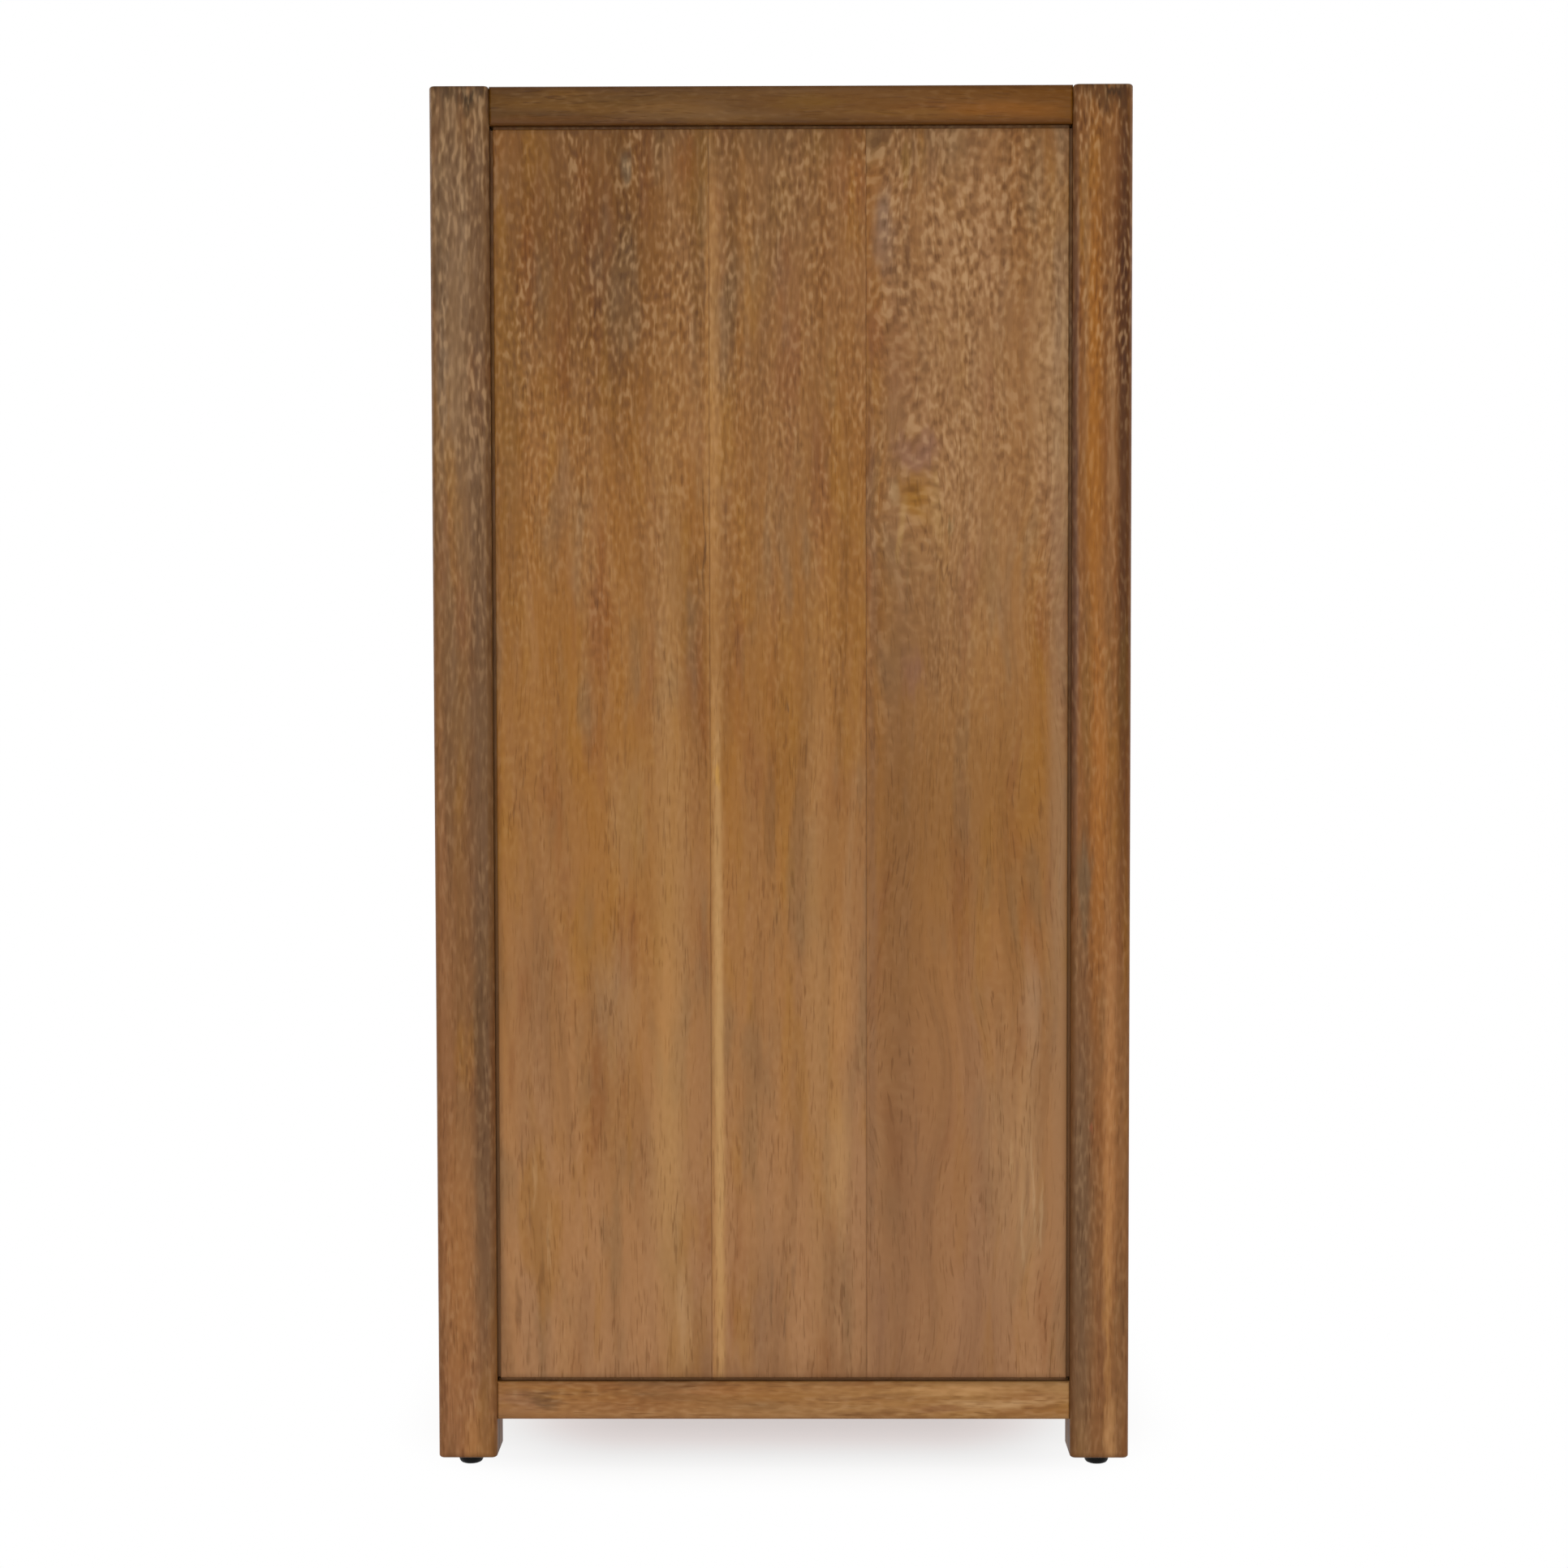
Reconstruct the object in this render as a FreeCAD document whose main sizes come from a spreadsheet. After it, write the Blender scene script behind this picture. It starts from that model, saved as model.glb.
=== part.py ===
"""A four-drawer dresser of stained hardwood, in millimetres.

The case is frame and panel: four square legs, rails tenoned into them, and floating panels of edge-glued
boards with a narrow reveal round each. Every drawer runs on a pair of three-part steel slides and is opened
by a scooped finger pull. The origin is on the floor under the middle of the case, +Z is up, the drawer
fronts face -Y and the width lies along X.
"""

import FreeCAD, Part
import math
import os
import re

import Sketcher
from FreeCAD import Placement, Rotation, Vector

DRAWERS = 4
BOARDS = 3
BACK_SCREWS_UP = 5
BACK_SCREWS_ACROSS = 4
SIDES = ("left", "right")
ENDS = ("front", "back")

# How near an edge lies to a plane or a line, in millimetres, to count as on it
ON_PLANE = 1e-4

# Driving dimensions, one cell of the sheet each
SIZES = {
    "case_width": 914,
    "case_depth": 508,
    "case_height": 1010,
    "leg_size": 43,
    "leg_round": 4.5,
    "leg_end_round": 2,
    "foot_height": 28,
    "glide_height": 8.5,
    "glide_diameter": 19,
    "glide_round": 5,
    "nail_diameter": 2.6,
    "nail_length": 22,
    "nail_in_glide": 3,
    "rail_height": 28,
    "rail_recess": 3,
    "rail_round": 2,
    "divider_height": 20,
    "tenon_thick": 12,
    "tenon_shoulder": 5,
    "tenon_gap": 1,
    "joint_clear": 0.1,
    "panel_recess": 5,
    "panel_thick": 16,
    "panel_reveal": 2.5,
    "panel_round": 1,
    "top_thick": 18,
    "front_board": 156,
    "middle_board": 114,
    "tongue_thick": 8,
    "tongue_depth": 8,
    "tongue_setback": 4,
    "float_gap": 1.5,
    "back_thick": 6,
    "back_gap": 0.5,
    "rabbet_width": 10,
    "back_screw_margin": 60,
    "batten_height": 60,
    "batten_gap": 0.5,
    "front_gap": 2.5,
    "front_thick": 20,
    "front_round": 2,
    "scoop_width": 130,
    "scoop_depth": 22,
    "scoop_round": 8,
    "side_thick": 12,
    "side_round": 1.5,
    "box_lift": 12,
    "box_headroom": 38,
    "box_back_gap": 46,
    "dovetail_depth": 8,
    "dovetail_inset": 3,
    "dovetail_flare": 2,
    "drawer_back_thick": 12,
    "drawer_back_drop": 6,
    "back_overhang": 10,
    "dado_depth": 5,
    "bottom_thick": 6,
    "bottom_lift": 10,
    "groove_depth": 6,
    "slide_space": 12.7,
    "slide_height": 45,
    "slide_reach": 10.5,
    "drawer_slide_reach": 7,
    "slide_head_room": 2,
    "slide_setback": 3,
    "slide_back_gap": 73,
    "slide_clear": 0.3,
    "steel_thick": 1.2,
    "screw_diameter": 3.5,
    "screw_head": 7,
    "screw_head_height": 1.5,
    "screw_inset": 40,
    "case_screw_length": 15,
    "drawer_screw_length": 10,
    "back_screw_length": 20,
}

# Planes of the case, each an expression of the sizes, measured from the middle or the floor
LEG_IN_X = "(case_width / 2 - leg_size)"
LEG_IN_Y = "(case_depth / 2 - leg_size)"
RAIL_OUT_X = "(case_width / 2 - rail_recess)"
RAIL_OUT_Y = "(case_depth / 2 - rail_recess)"
BOTTOM_RAIL_UNDER = "(glide_height + foot_height)"
BOTTOM_RAIL_TOP = f"({BOTTOM_RAIL_UNDER} + rail_height)"
TOP_RAIL_UNDER = "(case_height - rail_height)"
PANEL_OUT_X = "(case_width / 2 - panel_recess)"
PANEL_IN_X = f"({PANEL_OUT_X} - panel_thick)"
BACK_PANEL_FRONT = f"({RAIL_OUT_Y} - back_thick)"
TENON_LENGTH = "((leg_size - rail_recess - tenon_thick) / 2 - tenon_gap)"
TONGUE_REACH = "(panel_reveal + tongue_depth)"
GROOVE_REACH = "(tongue_depth + float_gap)"
TOP_TONGUE = ("case_height - tongue_setback - tongue_thick", "case_height - tongue_setback")
RAIL_LEVELS = {"top": (TOP_RAIL_UNDER, "case_height"), "bottom": (BOTTOM_RAIL_UNDER, BOTTOM_RAIL_TOP)}

# Planes of a drawer and its slides
OPENING = f"(({TOP_RAIL_UNDER} - {BOTTOM_RAIL_TOP} - {DRAWERS - 1} * divider_height) / {DRAWERS})"
BOX_OUT = f"({LEG_IN_X} - slide_space)"
BOX_IN = f"({BOX_OUT} - side_thick)"
BOX_FRONT = f"(front_thick - {RAIL_OUT_Y})"
BOX_LENGTH = f"({BACK_PANEL_FRONT} - box_back_gap - {BOX_FRONT})"
DRAWER_BACK_REAR = f"({BOX_FRONT} + {BOX_LENGTH} - back_overhang)"
SIDE_HEIGHT = f"({OPENING} - box_lift - box_headroom)"
SLIDE_SPAN = (f"({BOX_FRONT} + slide_setback)", f"({BACK_PANEL_FRONT} - slide_back_gap)")

doc = FreeCAD.newDocument("dresser")
sheet = doc.addObject("Spreadsheet::Sheet", "Sizes")
for row, (alias, number) in enumerate(SIZES.items(), start=1):
    sheet.set(f"A{row}", alias)
    sheet.set(f"B{row}", str(number))
    sheet.setAlias(f"B{row}", alias)
doc.recompute()

pieces = {}
mortises = {f"{end}_{side}_leg": [] for end in ENDS for side in SIDES}
leg_bores = {leg: [] for leg in mortises}


def in_cells(text):
    """An expression with each plain size name turned into a reference to its cell."""
    return re.sub(r"[a-z_]+", lambda m: f"Sizes.{m[0]}" if m[0] in SIZES else m[0], text)


def bind(thing, prop, text):
    thing.setExpression(prop, in_cells(text))


def value(text):
    """What an expression of the sizes comes to now."""
    return float(sheet.evalExpression(in_cells(text)))


def mirrored(where, span):
    """A span on the right or at the back, or its mirror image on the left or at the front."""
    low, high = span
    return span if where in ("right", "back") else (f"-({high})", f"-({low})")


def sign(where):
    return 1 if where in ("right", "back") else -1


def grown(span, by):
    low, high = span
    return f"({low}) - ({by})", f"({high}) + ({by})"


def middle(span):
    low, high = span
    return f"(({low}) + ({high})) / 2"


def about(centre, width):
    return f"({centre}) - ({width}) / 2", f"({centre}) + ({width}) / 2"


# Features of a body

def new_body(name):
    body = doc.addObject("PartDesign::Body", name)
    body.Label = name
    return body


def block(body, kind, spans):
    """A box that is added to a body or cut out of it, between two planes along each axis."""
    feature = body.newObject(f"PartDesign::{kind}Box", f"{body.Name}_{kind}")
    for edge, axis in zip(("Length", "Width", "Height"), "xyz"):
        low, high = spans[axis]
        bind(feature, edge, f"({high}) - ({low})")
        bind(feature, f"Placement.Base.{axis}", low)


def bore(body, point, direction, diameter, depth):
    """A round hole from a point on a body's face, along a direction into the wood."""
    feature = body.newObject("PartDesign::SubtractiveCylinder", f"{body.Name}_bore")
    feature.Placement = Placement(Vector(), Rotation(Vector(0, 0, 1), Vector(*direction)))
    for axis in "xyz":
        bind(feature, f"Placement.Base.{axis}", point[axis])
    bind(feature, "Radius", f"({diameter}) / 2 + joint_clear")
    bind(feature, "Height", f"({depth}) + joint_clear")


def reach(edge):
    """The lowest and highest place of an edge along each axis."""
    box = edge.BoundBox
    return {"x": (box.XMin, box.XMax), "y": (box.YMin, box.YMax), "z": (box.ZMin, box.ZMax)}


def runs_along(axis):
    """Picks the straight edges that lie along an axis."""
    across = [other for other in "xyz" if other != axis]
    return lambda edge: all(reach(edge)[other][1] - reach(edge)[other][0] < ON_PLANE for other in across)


def lies_at(axis, place):
    """Picks the edges that lie wholly in a plane across an axis."""
    return lambda edge: all(abs(end - place) < ON_PLANE for end in reach(edge)[axis])


def round_edges(body, radius, wanted):
    doc.recompute()
    base = body.Tip
    names = [f"Edge{i}" for i, edge in enumerate(base.Shape.Edges, start=1) if wanted(edge)]
    feature = body.newObject("PartDesign::Fillet", f"{body.Name}_rounding")
    feature.Base = (base, names)
    bind(feature, "Radius", radius)


def new_sketch(body, role):
    sketch = body.newObject("Sketcher::SketchObject", f"{body.Name}_sketch")
    plane = next(f for f in body.Origin.OriginFeatures if f.Role == role)
    sketch.AttachmentSupport = [(plane, "")]
    sketch.MapMode = "FlatFace"
    return sketch


def at(point):
    return Vector(value(point[0]), value(point[1]), 0)


def hold(sketch, line, end, point):
    """Holds one end of a sketch line at a point given by two expressions."""
    for kind, text in zip(("DistanceX", "DistanceY"), point):
        index = sketch.addConstraint(Sketcher.Constraint(kind, -1, 1, line, end, value(text)))
        bind(sketch, f"Constraints[{index}]", text)


def join(sketch, first, first_end, second, second_end):
    sketch.addConstraint(Sketcher.Constraint("Coincident", first, first_end, second, second_end))


def polygon(body, role, points):
    """A closed sketch of straight lines, each corner held by two expressions."""
    sketch = new_sketch(body, role)
    count = len(points)
    for k, point in enumerate(points):
        sketch.addGeometry(Part.LineSegment(at(point), at(points[(k + 1) % count])), False)
    for k, point in enumerate(points):
        join(sketch, k, 2, (k + 1) % count, 1)
        hold(sketch, k, 1, point)
    return sketch


def pad(body, sketch, length):
    feature = body.newObject("PartDesign::Pad", f"{body.Name}_pad")
    feature.Profile = sketch
    bind(feature, "Length", length)


def keep(name, made):
    made.Label = name
    pieces[name] = made


def group(name, members):
    """Several separate solids that go by one name."""
    compound = doc.addObject("Part::Compound", name)
    compound.Links = members
    keep(name, compound)


# Case joinery

def tenoned_rail(name, along, where, spans):
    """A rail between two legs, with a tenon on each end and a mortise noted for it in the leg.

    Its long edges are rounded, and so are the ends of its outer face, which leaves a shadow line at each leg.
    """
    body = new_body(name)
    block(body, "Additive", spans)
    across, leg_face = ("x", LEG_IN_Y) if along == "y" else ("y", LEG_IN_X)
    outside = spans[across][1 if where in ("right", "back") else 0]
    long_edge, on_face = runs_along(along), lies_at(across, value(outside))
    round_edges(body, "rail_round", lambda edge: long_edge(edge) or on_face(edge))
    for far in (ENDS if along == "y" else SIDES):
        leg = f"{far}_{where}_leg" if along == "y" else f"{where}_{far}_leg"
        tenon = {
            along: mirrored(far, (leg_face, f"{leg_face} + {TENON_LENGTH}")),
            across: about(middle(spans[across]), "tenon_thick"),
            "z": grown(spans["z"], "-tenon_shoulder"),
        }
        block(body, "Additive", tenon)
        mortises[leg].append({axis: grown(span, "joint_clear") for axis, span in tenon.items()})
    return body


def glued_panel(name, thickness_axis, outside, face, tongue, length_axis, length):
    """Boards edge-glued into one floating panel, with a tongue all round for the grooves of its frame.

    The boards lie side by side along Y, with a hairline of glue between them. Tongues stop short of the
    corners, clear of the rails' tenons.
    """
    half = f"({LEG_IN_Y} - panel_reveal)"
    seams = [f"-{half}", f"front_board - {half}", f"front_board + middle_board - {half}", half]
    long_tongue = grown(length, TONGUE_REACH)
    boards = []
    for k in range(BOARDS):
        low = f"{seams[k]} + joint_clear" if k > 0 else seams[k]
        width = (low, seams[k + 1])
        glued = [low] * (k > 0) + [seams[k + 1]] * (k < BOARDS - 1)
        board = new_body(f"{name}_board_{k + 1}")
        block(board, "Additive", {thickness_axis: face, length_axis: length, "y": width})
        on_face = lies_at(thickness_axis, value(outside))
        on_seam = [lies_at("y", value(seam)) for seam in glued]
        round_edges(board, "panel_round", lambda edge: on_face(edge) and not any(s(edge) for s in on_seam))
        block(board, "Additive", {thickness_axis: tongue, length_axis: long_tongue, "y": width})
        if k == 0:
            edge_tongue = (f"{seams[0]} - {TONGUE_REACH}", seams[1])
            block(board, "Additive", {thickness_axis: tongue, length_axis: length, "y": edge_tongue})
        if k == BOARDS - 1:
            edge_tongue = (low, f"{seams[BOARDS]} + {TONGUE_REACH}")
            block(board, "Additive", {thickness_axis: tongue, length_axis: length, "y": edge_tongue})
        boards.append(board)
    group(name, boards)


def top_slot_z():
    """Heights of the groove round the top rails for the tongue of the top panel."""
    return grown(TOP_TONGUE, "joint_clear")


def make_side(side):
    """One end of the case: two rails, the floating panel and the battens that carry the slides."""
    rail_x = mirrored(side, (LEG_IN_X, RAIL_OUT_X))
    between_legs = (f"-{LEG_IN_Y}", LEG_IN_Y)
    face = (PANEL_IN_X, PANEL_OUT_X)
    tongue = (f"{PANEL_OUT_X} - tongue_setback - tongue_thick", f"{PANEL_OUT_X} - tongue_setback")
    slot_x = grown(mirrored(side, tongue), "joint_clear")
    slots = {
        "bottom": (f"{BOTTOM_RAIL_TOP} - {GROOVE_REACH}", BOTTOM_RAIL_TOP),
        "top": (TOP_RAIL_UNDER, f"{TOP_RAIL_UNDER} + {GROOVE_REACH}"),
    }
    for level, rail_z in RAIL_LEVELS.items():
        name = f"{side}_{level}_rail"
        rail = tenoned_rail(name, "y", side, {"x": rail_x, "y": between_legs, "z": rail_z})
        block(rail, "Subtractive", {"x": slot_x, "y": between_legs, "z": slots[level]})
        if level == "top":
            top_slot = mirrored(side, (LEG_IN_X, f"{LEG_IN_X} + {GROOVE_REACH}"))
            block(rail, "Subtractive", {"x": top_slot, "y": between_legs, "z": top_slot_z()})
        keep(name, rail)
    length = (f"{BOTTOM_RAIL_TOP} + panel_reveal", f"{TOP_RAIL_UNDER} - panel_reveal")
    outside = PANEL_OUT_X if side == "right" else f"-{PANEL_OUT_X}"
    glued_panel(f"{side}_side_panel", "x", outside, mirrored(side, face), mirrored(side, tongue), "z", length)
    for end in ENDS:
        mortises[f"{end}_{side}_leg"].append({
            "x": slot_x,
            "y": mirrored(end, (LEG_IN_Y, f"{LEG_IN_Y} + {GROOVE_REACH}")),
            "z": (BOTTOM_RAIL_TOP, TOP_RAIL_UNDER),
        })
    batten_x = mirrored(side, (LEG_IN_X, f"{PANEL_IN_X} - batten_gap"))
    battens = []
    for number in range(1, DRAWERS + 1):
        spans = {"x": batten_x, "y": between_legs, "z": about(slide_level(number), "batten_height")}
        batten = tenoned_rail(f"{side}_batten_{number}", "y", side, spans)
        for y in screw_places():
            seat = {"x": f"{sign(side)} * {LEG_IN_X}", "y": y, "z": slide_level(number)}
            bore(batten, seat, (sign(side), 0, 0), "screw_diameter", "case_screw_length - steel_thick")
        battens.append(batten)
    group(f"{side}_slide_battens", battens)


def make_cross_rails():
    """The rails across the front and the back, with the dividers between the drawers."""
    between_legs = (f"-{LEG_IN_X}", LEG_IN_X)
    rabbets = {
        "top": (TOP_RAIL_UNDER, f"{TOP_RAIL_UNDER} + rabbet_width"),
        "bottom": (f"{BOTTOM_RAIL_TOP} - rabbet_width", BOTTOM_RAIL_TOP),
    }
    for end in ENDS:
        rail_y = mirrored(end, (LEG_IN_Y, RAIL_OUT_Y))
        for level, rail_z in RAIL_LEVELS.items():
            name = f"{end}_{level}_rail"
            rail = tenoned_rail(name, "x", end, {"x": between_legs, "y": rail_y, "z": rail_z})
            if level == "top":
                slot_y = mirrored(end, (LEG_IN_Y, f"{LEG_IN_Y} + {GROOVE_REACH}"))
                block(rail, "Subtractive", {"x": between_legs, "y": slot_y, "z": top_slot_z()})
            if end == "back":
                rabbet = {"x": between_legs, "y": (BACK_PANEL_FRONT, RAIL_OUT_Y), "z": rabbets[level]}
                block(rail, "Subtractive", rabbet)
                for x in back_screw_columns():
                    seat = {"x": x, "y": BACK_PANEL_FRONT, "z": middle(rabbets[level])}
                    bore(rail, seat, (0, -1, 0), "screw_diameter", "back_screw_length - back_thick")
            keep(name, rail)
    for number in range(1, DRAWERS):
        floor = opening_floor(number)
        spans = {
            "x": between_legs,
            "y": (f"-{RAIL_OUT_Y}", f"-{LEG_IN_Y}"),
            "z": (f"{floor} - divider_height", floor),
        }
        name = f"divider_rail_{number}"
        keep(name, tenoned_rail(name, "x", "front", spans))


def make_top():
    face = ("case_height - top_thick", "case_height")
    length = (f"panel_reveal - {LEG_IN_X}", f"{LEG_IN_X} - panel_reveal")
    glued_panel("top_panel", "z", "case_height", face, TOP_TONGUE, "x", length)


def back_screw_rows():
    """Heights of the screws up each back leg."""
    low, high = f"({BOTTOM_RAIL_TOP} + back_screw_margin)", f"({TOP_RAIL_UNDER} - back_screw_margin)"
    return [f"{low} + ({high} - {low}) * {k} / {BACK_SCREWS_UP - 1}" for k in range(BACK_SCREWS_UP)]


def back_screw_columns():
    """Places of the screws along each back rail."""
    reach = f"({LEG_IN_X} - back_screw_margin)"
    return [f"{reach} * ({2 * k} / {BACK_SCREWS_ACROSS - 1} - 1)" for k in range(BACK_SCREWS_ACROSS)]


def make_back():
    """The thin back panel, screwed into the rabbets of the back legs and rails."""
    panel = new_body("back_panel")
    block(panel, "Additive", {
        "x": grown((f"-{LEG_IN_X}", LEG_IN_X), "rabbet_width - back_gap"),
        "y": (BACK_PANEL_FRONT, RAIL_OUT_Y),
        "z": grown((BOTTOM_RAIL_TOP, TOP_RAIL_UNDER), "rabbet_width - back_gap"),
    })
    inward = (0, -1, 0)
    seats = []
    for side in SIDES:
        leg = f"back_{side}_leg"
        mortises[leg].append({
            "x": mirrored(side, (LEG_IN_X, f"{LEG_IN_X} + rabbet_width")),
            "y": (BACK_PANEL_FRONT, "case_depth / 2"),
            "z": grown((BOTTOM_RAIL_TOP, TOP_RAIL_UNDER), "rabbet_width"),
        })
        x = f"{sign(side)} * ({LEG_IN_X} + rabbet_width / 2)"
        for z in back_screw_rows():
            into_leg = {"x": x, "y": BACK_PANEL_FRONT, "z": z}
            leg_bores[leg].append((into_leg, inward, "screw_diameter", "back_screw_length - back_thick"))
            seats.append({"x": x, "y": RAIL_OUT_Y, "z": z})
    for z in (f"{BOTTOM_RAIL_TOP} - rabbet_width / 2", f"{TOP_RAIL_UNDER} + rabbet_width / 2"):
        seats += [{"x": x, "y": RAIL_OUT_Y, "z": z} for x in back_screw_columns()]
    screws = []
    for k, seat in enumerate(seats, start=1):
        bore(panel, seat, inward, "screw_diameter", "back_thick")
        screws.append(screw(f"back_screw_{k}", seat, inward, "back_screw_length"))
    keep("back_panel", panel)
    group("back_panel_screws", screws)


def make_legs():
    """The legs, cut for all that was noted for them, with the nail hole of the glide underneath."""
    for end in ENDS:
        for side in SIDES:
            name = f"{end}_{side}_leg"
            leg = new_body(name)
            leg_x = mirrored(side, (LEG_IN_X, "case_width / 2"))
            leg_y = mirrored(end, (LEG_IN_Y, "case_depth / 2"))
            block(leg, "Additive", {"x": leg_x, "y": leg_y, "z": ("glide_height", "case_height")})
            round_edges(leg, "leg_round", runs_along("z"))
            foot, head = lies_at("z", value("glide_height")), lies_at("z", value("case_height"))
            round_edges(leg, "leg_end_round", lambda edge: foot(edge) or head(edge))
            for cut in mortises[name]:
                block(leg, "Subtractive", cut)
            for point, direction, diameter, depth in leg_bores[name]:
                bore(leg, point, direction, diameter, depth)
            under = {"x": middle(leg_x), "y": middle(leg_y), "z": "glide_height"}
            bore(leg, under, (0, 0, 1), "nail_diameter", "nail_length - nail_in_glide")
            keep(name, leg)


def make_glides():
    """Domed plastic glides under the legs, each held by a nail."""
    glides, nails = [], []
    for end in ENDS:
        for side in SIDES:
            centre = {
                "x": middle(mirrored(side, (LEG_IN_X, "case_width / 2"))),
                "y": middle(mirrored(end, (LEG_IN_Y, "case_depth / 2"))),
            }
            glide = new_body(f"{end}_{side}_glide")
            disc = glide.newObject("PartDesign::AdditiveCylinder", f"{glide.Name}_disc")
            bind(disc, "Radius", "glide_diameter / 2")
            bind(disc, "Height", "glide_height")
            round_edges(glide, "glide_round", lies_at("z", 0))
            nail_hole = {"x": "0", "y": "0", "z": "glide_height"}
            bore(glide, nail_hole, (0, 0, -1), "nail_diameter", "nail_in_glide")
            nail = doc.addObject("Part::Cylinder", f"{end}_{side}_nail")
            bind(nail, "Radius", "nail_diameter / 2")
            bind(nail, "Height", "nail_length")
            bind(nail, "Placement.Base.z", "glide_height - nail_in_glide")
            for axis in "xy":
                bind(glide, f"Placement.Base.{axis}", centre[axis])
                bind(nail, f"Placement.Base.{axis}", centre[axis])
            glides.append(glide)
            nails.append(nail)
    group("floor_glides", glides)
    group("glide_nails", nails)


# Drawers and slides

def opening_floor(number):
    """Height of the floor of a drawer's opening, with the drawers numbered from the top."""
    return f"({BOTTOM_RAIL_TOP} + {DRAWERS - number} * ({OPENING} + divider_height))"


def slide_level(number):
    """Height of the middle of a drawer's slides, halfway up its sides."""
    return f"({opening_floor(number)} + box_lift + {SIDE_HEIGHT} / 2)"


def screw_places():
    """Places along Y of the screws of one slide, one near each end."""
    start, stop = SLIDE_SPAN
    return [f"{start} + screw_inset", f"{stop} - screw_inset"]


def screw(name, seat, direction, length):
    """A pan-head screw: the shank goes along a direction from its seat and the head stands the other way."""
    shank = doc.addObject("Part::Cylinder", f"{name}_shank")
    head = doc.addObject("Part::Cone", f"{name}_head")
    for solid, way in ((shank, 1), (head, -1)):
        solid.Placement = Placement(Vector(), Rotation(Vector(0, 0, 1), Vector(*direction) * way))
        for axis in "xyz":
            bind(solid, f"Placement.Base.{axis}", seat[axis])
    bind(shank, "Radius", "screw_diameter / 2")
    bind(shank, "Height", length)
    bind(head, "Radius1", "screw_head / 2")
    bind(head, "Radius2", "screw_head / 2 - screw_head_height / 2")
    bind(head, "Height", "screw_head_height")
    made = doc.addObject("Part::Fuse", name)
    made.Base, made.Tool = shank, head
    return made


def channel(name, side, level, depth, height, web_outside):
    """A steel channel along Y, between two depths measured inward from the leg's inner face."""
    near, far = depth
    body = new_body(name)
    block(body, "Additive", {
        "x": mirrored(side, (f"{LEG_IN_X} - ({far})", f"{LEG_IN_X} - ({near})")),
        "y": SLIDE_SPAN,
        "z": about(level, height),
    })
    hollow = (f"({near}) + steel_thick", far) if web_outside else (near, f"({far}) - steel_thick")
    block(body, "Subtractive", {
        "x": mirrored(side, (f"{LEG_IN_X} - ({hollow[1]})", f"{LEG_IN_X} - ({hollow[0]})")),
        "y": SLIDE_SPAN,
        "z": about(level, f"{height} - 2 * steel_thick"),
    })
    return body


def make_slides(number, outer_members, outer_screws):
    """Both slides of one drawer: case, middle and drawer members, each running inside the one before."""
    level = slide_level(number)
    middle_height = "(slide_height - 2 * steel_thick - 2 * slide_clear)"
    inner_height = f"({middle_height} - 2 * steel_thick - 2 * slide_clear)"
    middles, inners, inner_screws = [], [], []
    for side in SIDES:
        tag = f"drawer_{number}_{side}"
        outer = channel(f"{tag}_outer", side, level, ("0", "slide_reach"), "slide_height", True)
        middle_depth = ("steel_thick + slide_head_room", "slide_reach")
        middles.append(channel(f"{tag}_middle", side, level, middle_depth, middle_height, True))
        inner_depth = ("slide_space - drawer_slide_reach", "slide_space")
        inner = channel(f"{tag}_inner", side, level, inner_depth, inner_height, False)
        outward = (sign(side), 0, 0)
        inward = (-sign(side), 0, 0)
        for k, y in enumerate(screw_places(), start=1):
            case_seat = {"x": f"{sign(side)} * ({LEG_IN_X} - steel_thick)", "y": y, "z": level}
            bore(outer, case_seat, outward, "screw_diameter", "steel_thick")
            outer_screws.append(screw(f"{tag}_case_screw_{k}", case_seat, outward, "case_screw_length"))
            box_seat = {"x": f"{sign(side)} * ({BOX_OUT} + steel_thick)", "y": y, "z": level}
            bore(inner, box_seat, inward, "screw_diameter", "steel_thick")
            inner_screws.append(screw(f"{tag}_box_screw_{k}", box_seat, inward, "drawer_screw_length"))
        outer_members.append(outer)
        inners.append(inner)
    group(f"drawer_{number}_slide_middle", middles)
    group(f"drawer_{number}_slide_inner", inners)
    group(f"drawer_{number}_slide_screws", inner_screws)


def dovetail(line, clearance, root):
    """A sliding dovetail in plan about a centre line: its four corners, from one side of the root round."""
    neck = f"side_thick / 2 - dovetail_inset + {clearance}"
    wide = f"{neck} + dovetail_flare"
    tip = f"-dovetail_depth - {clearance}"
    return [
        (f"{line} - ({neck})", root),
        (f"{line} - ({wide})", tip),
        (f"{line} + ({wide})", tip),
        (f"{line} + ({neck})", root),
    ]


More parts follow.
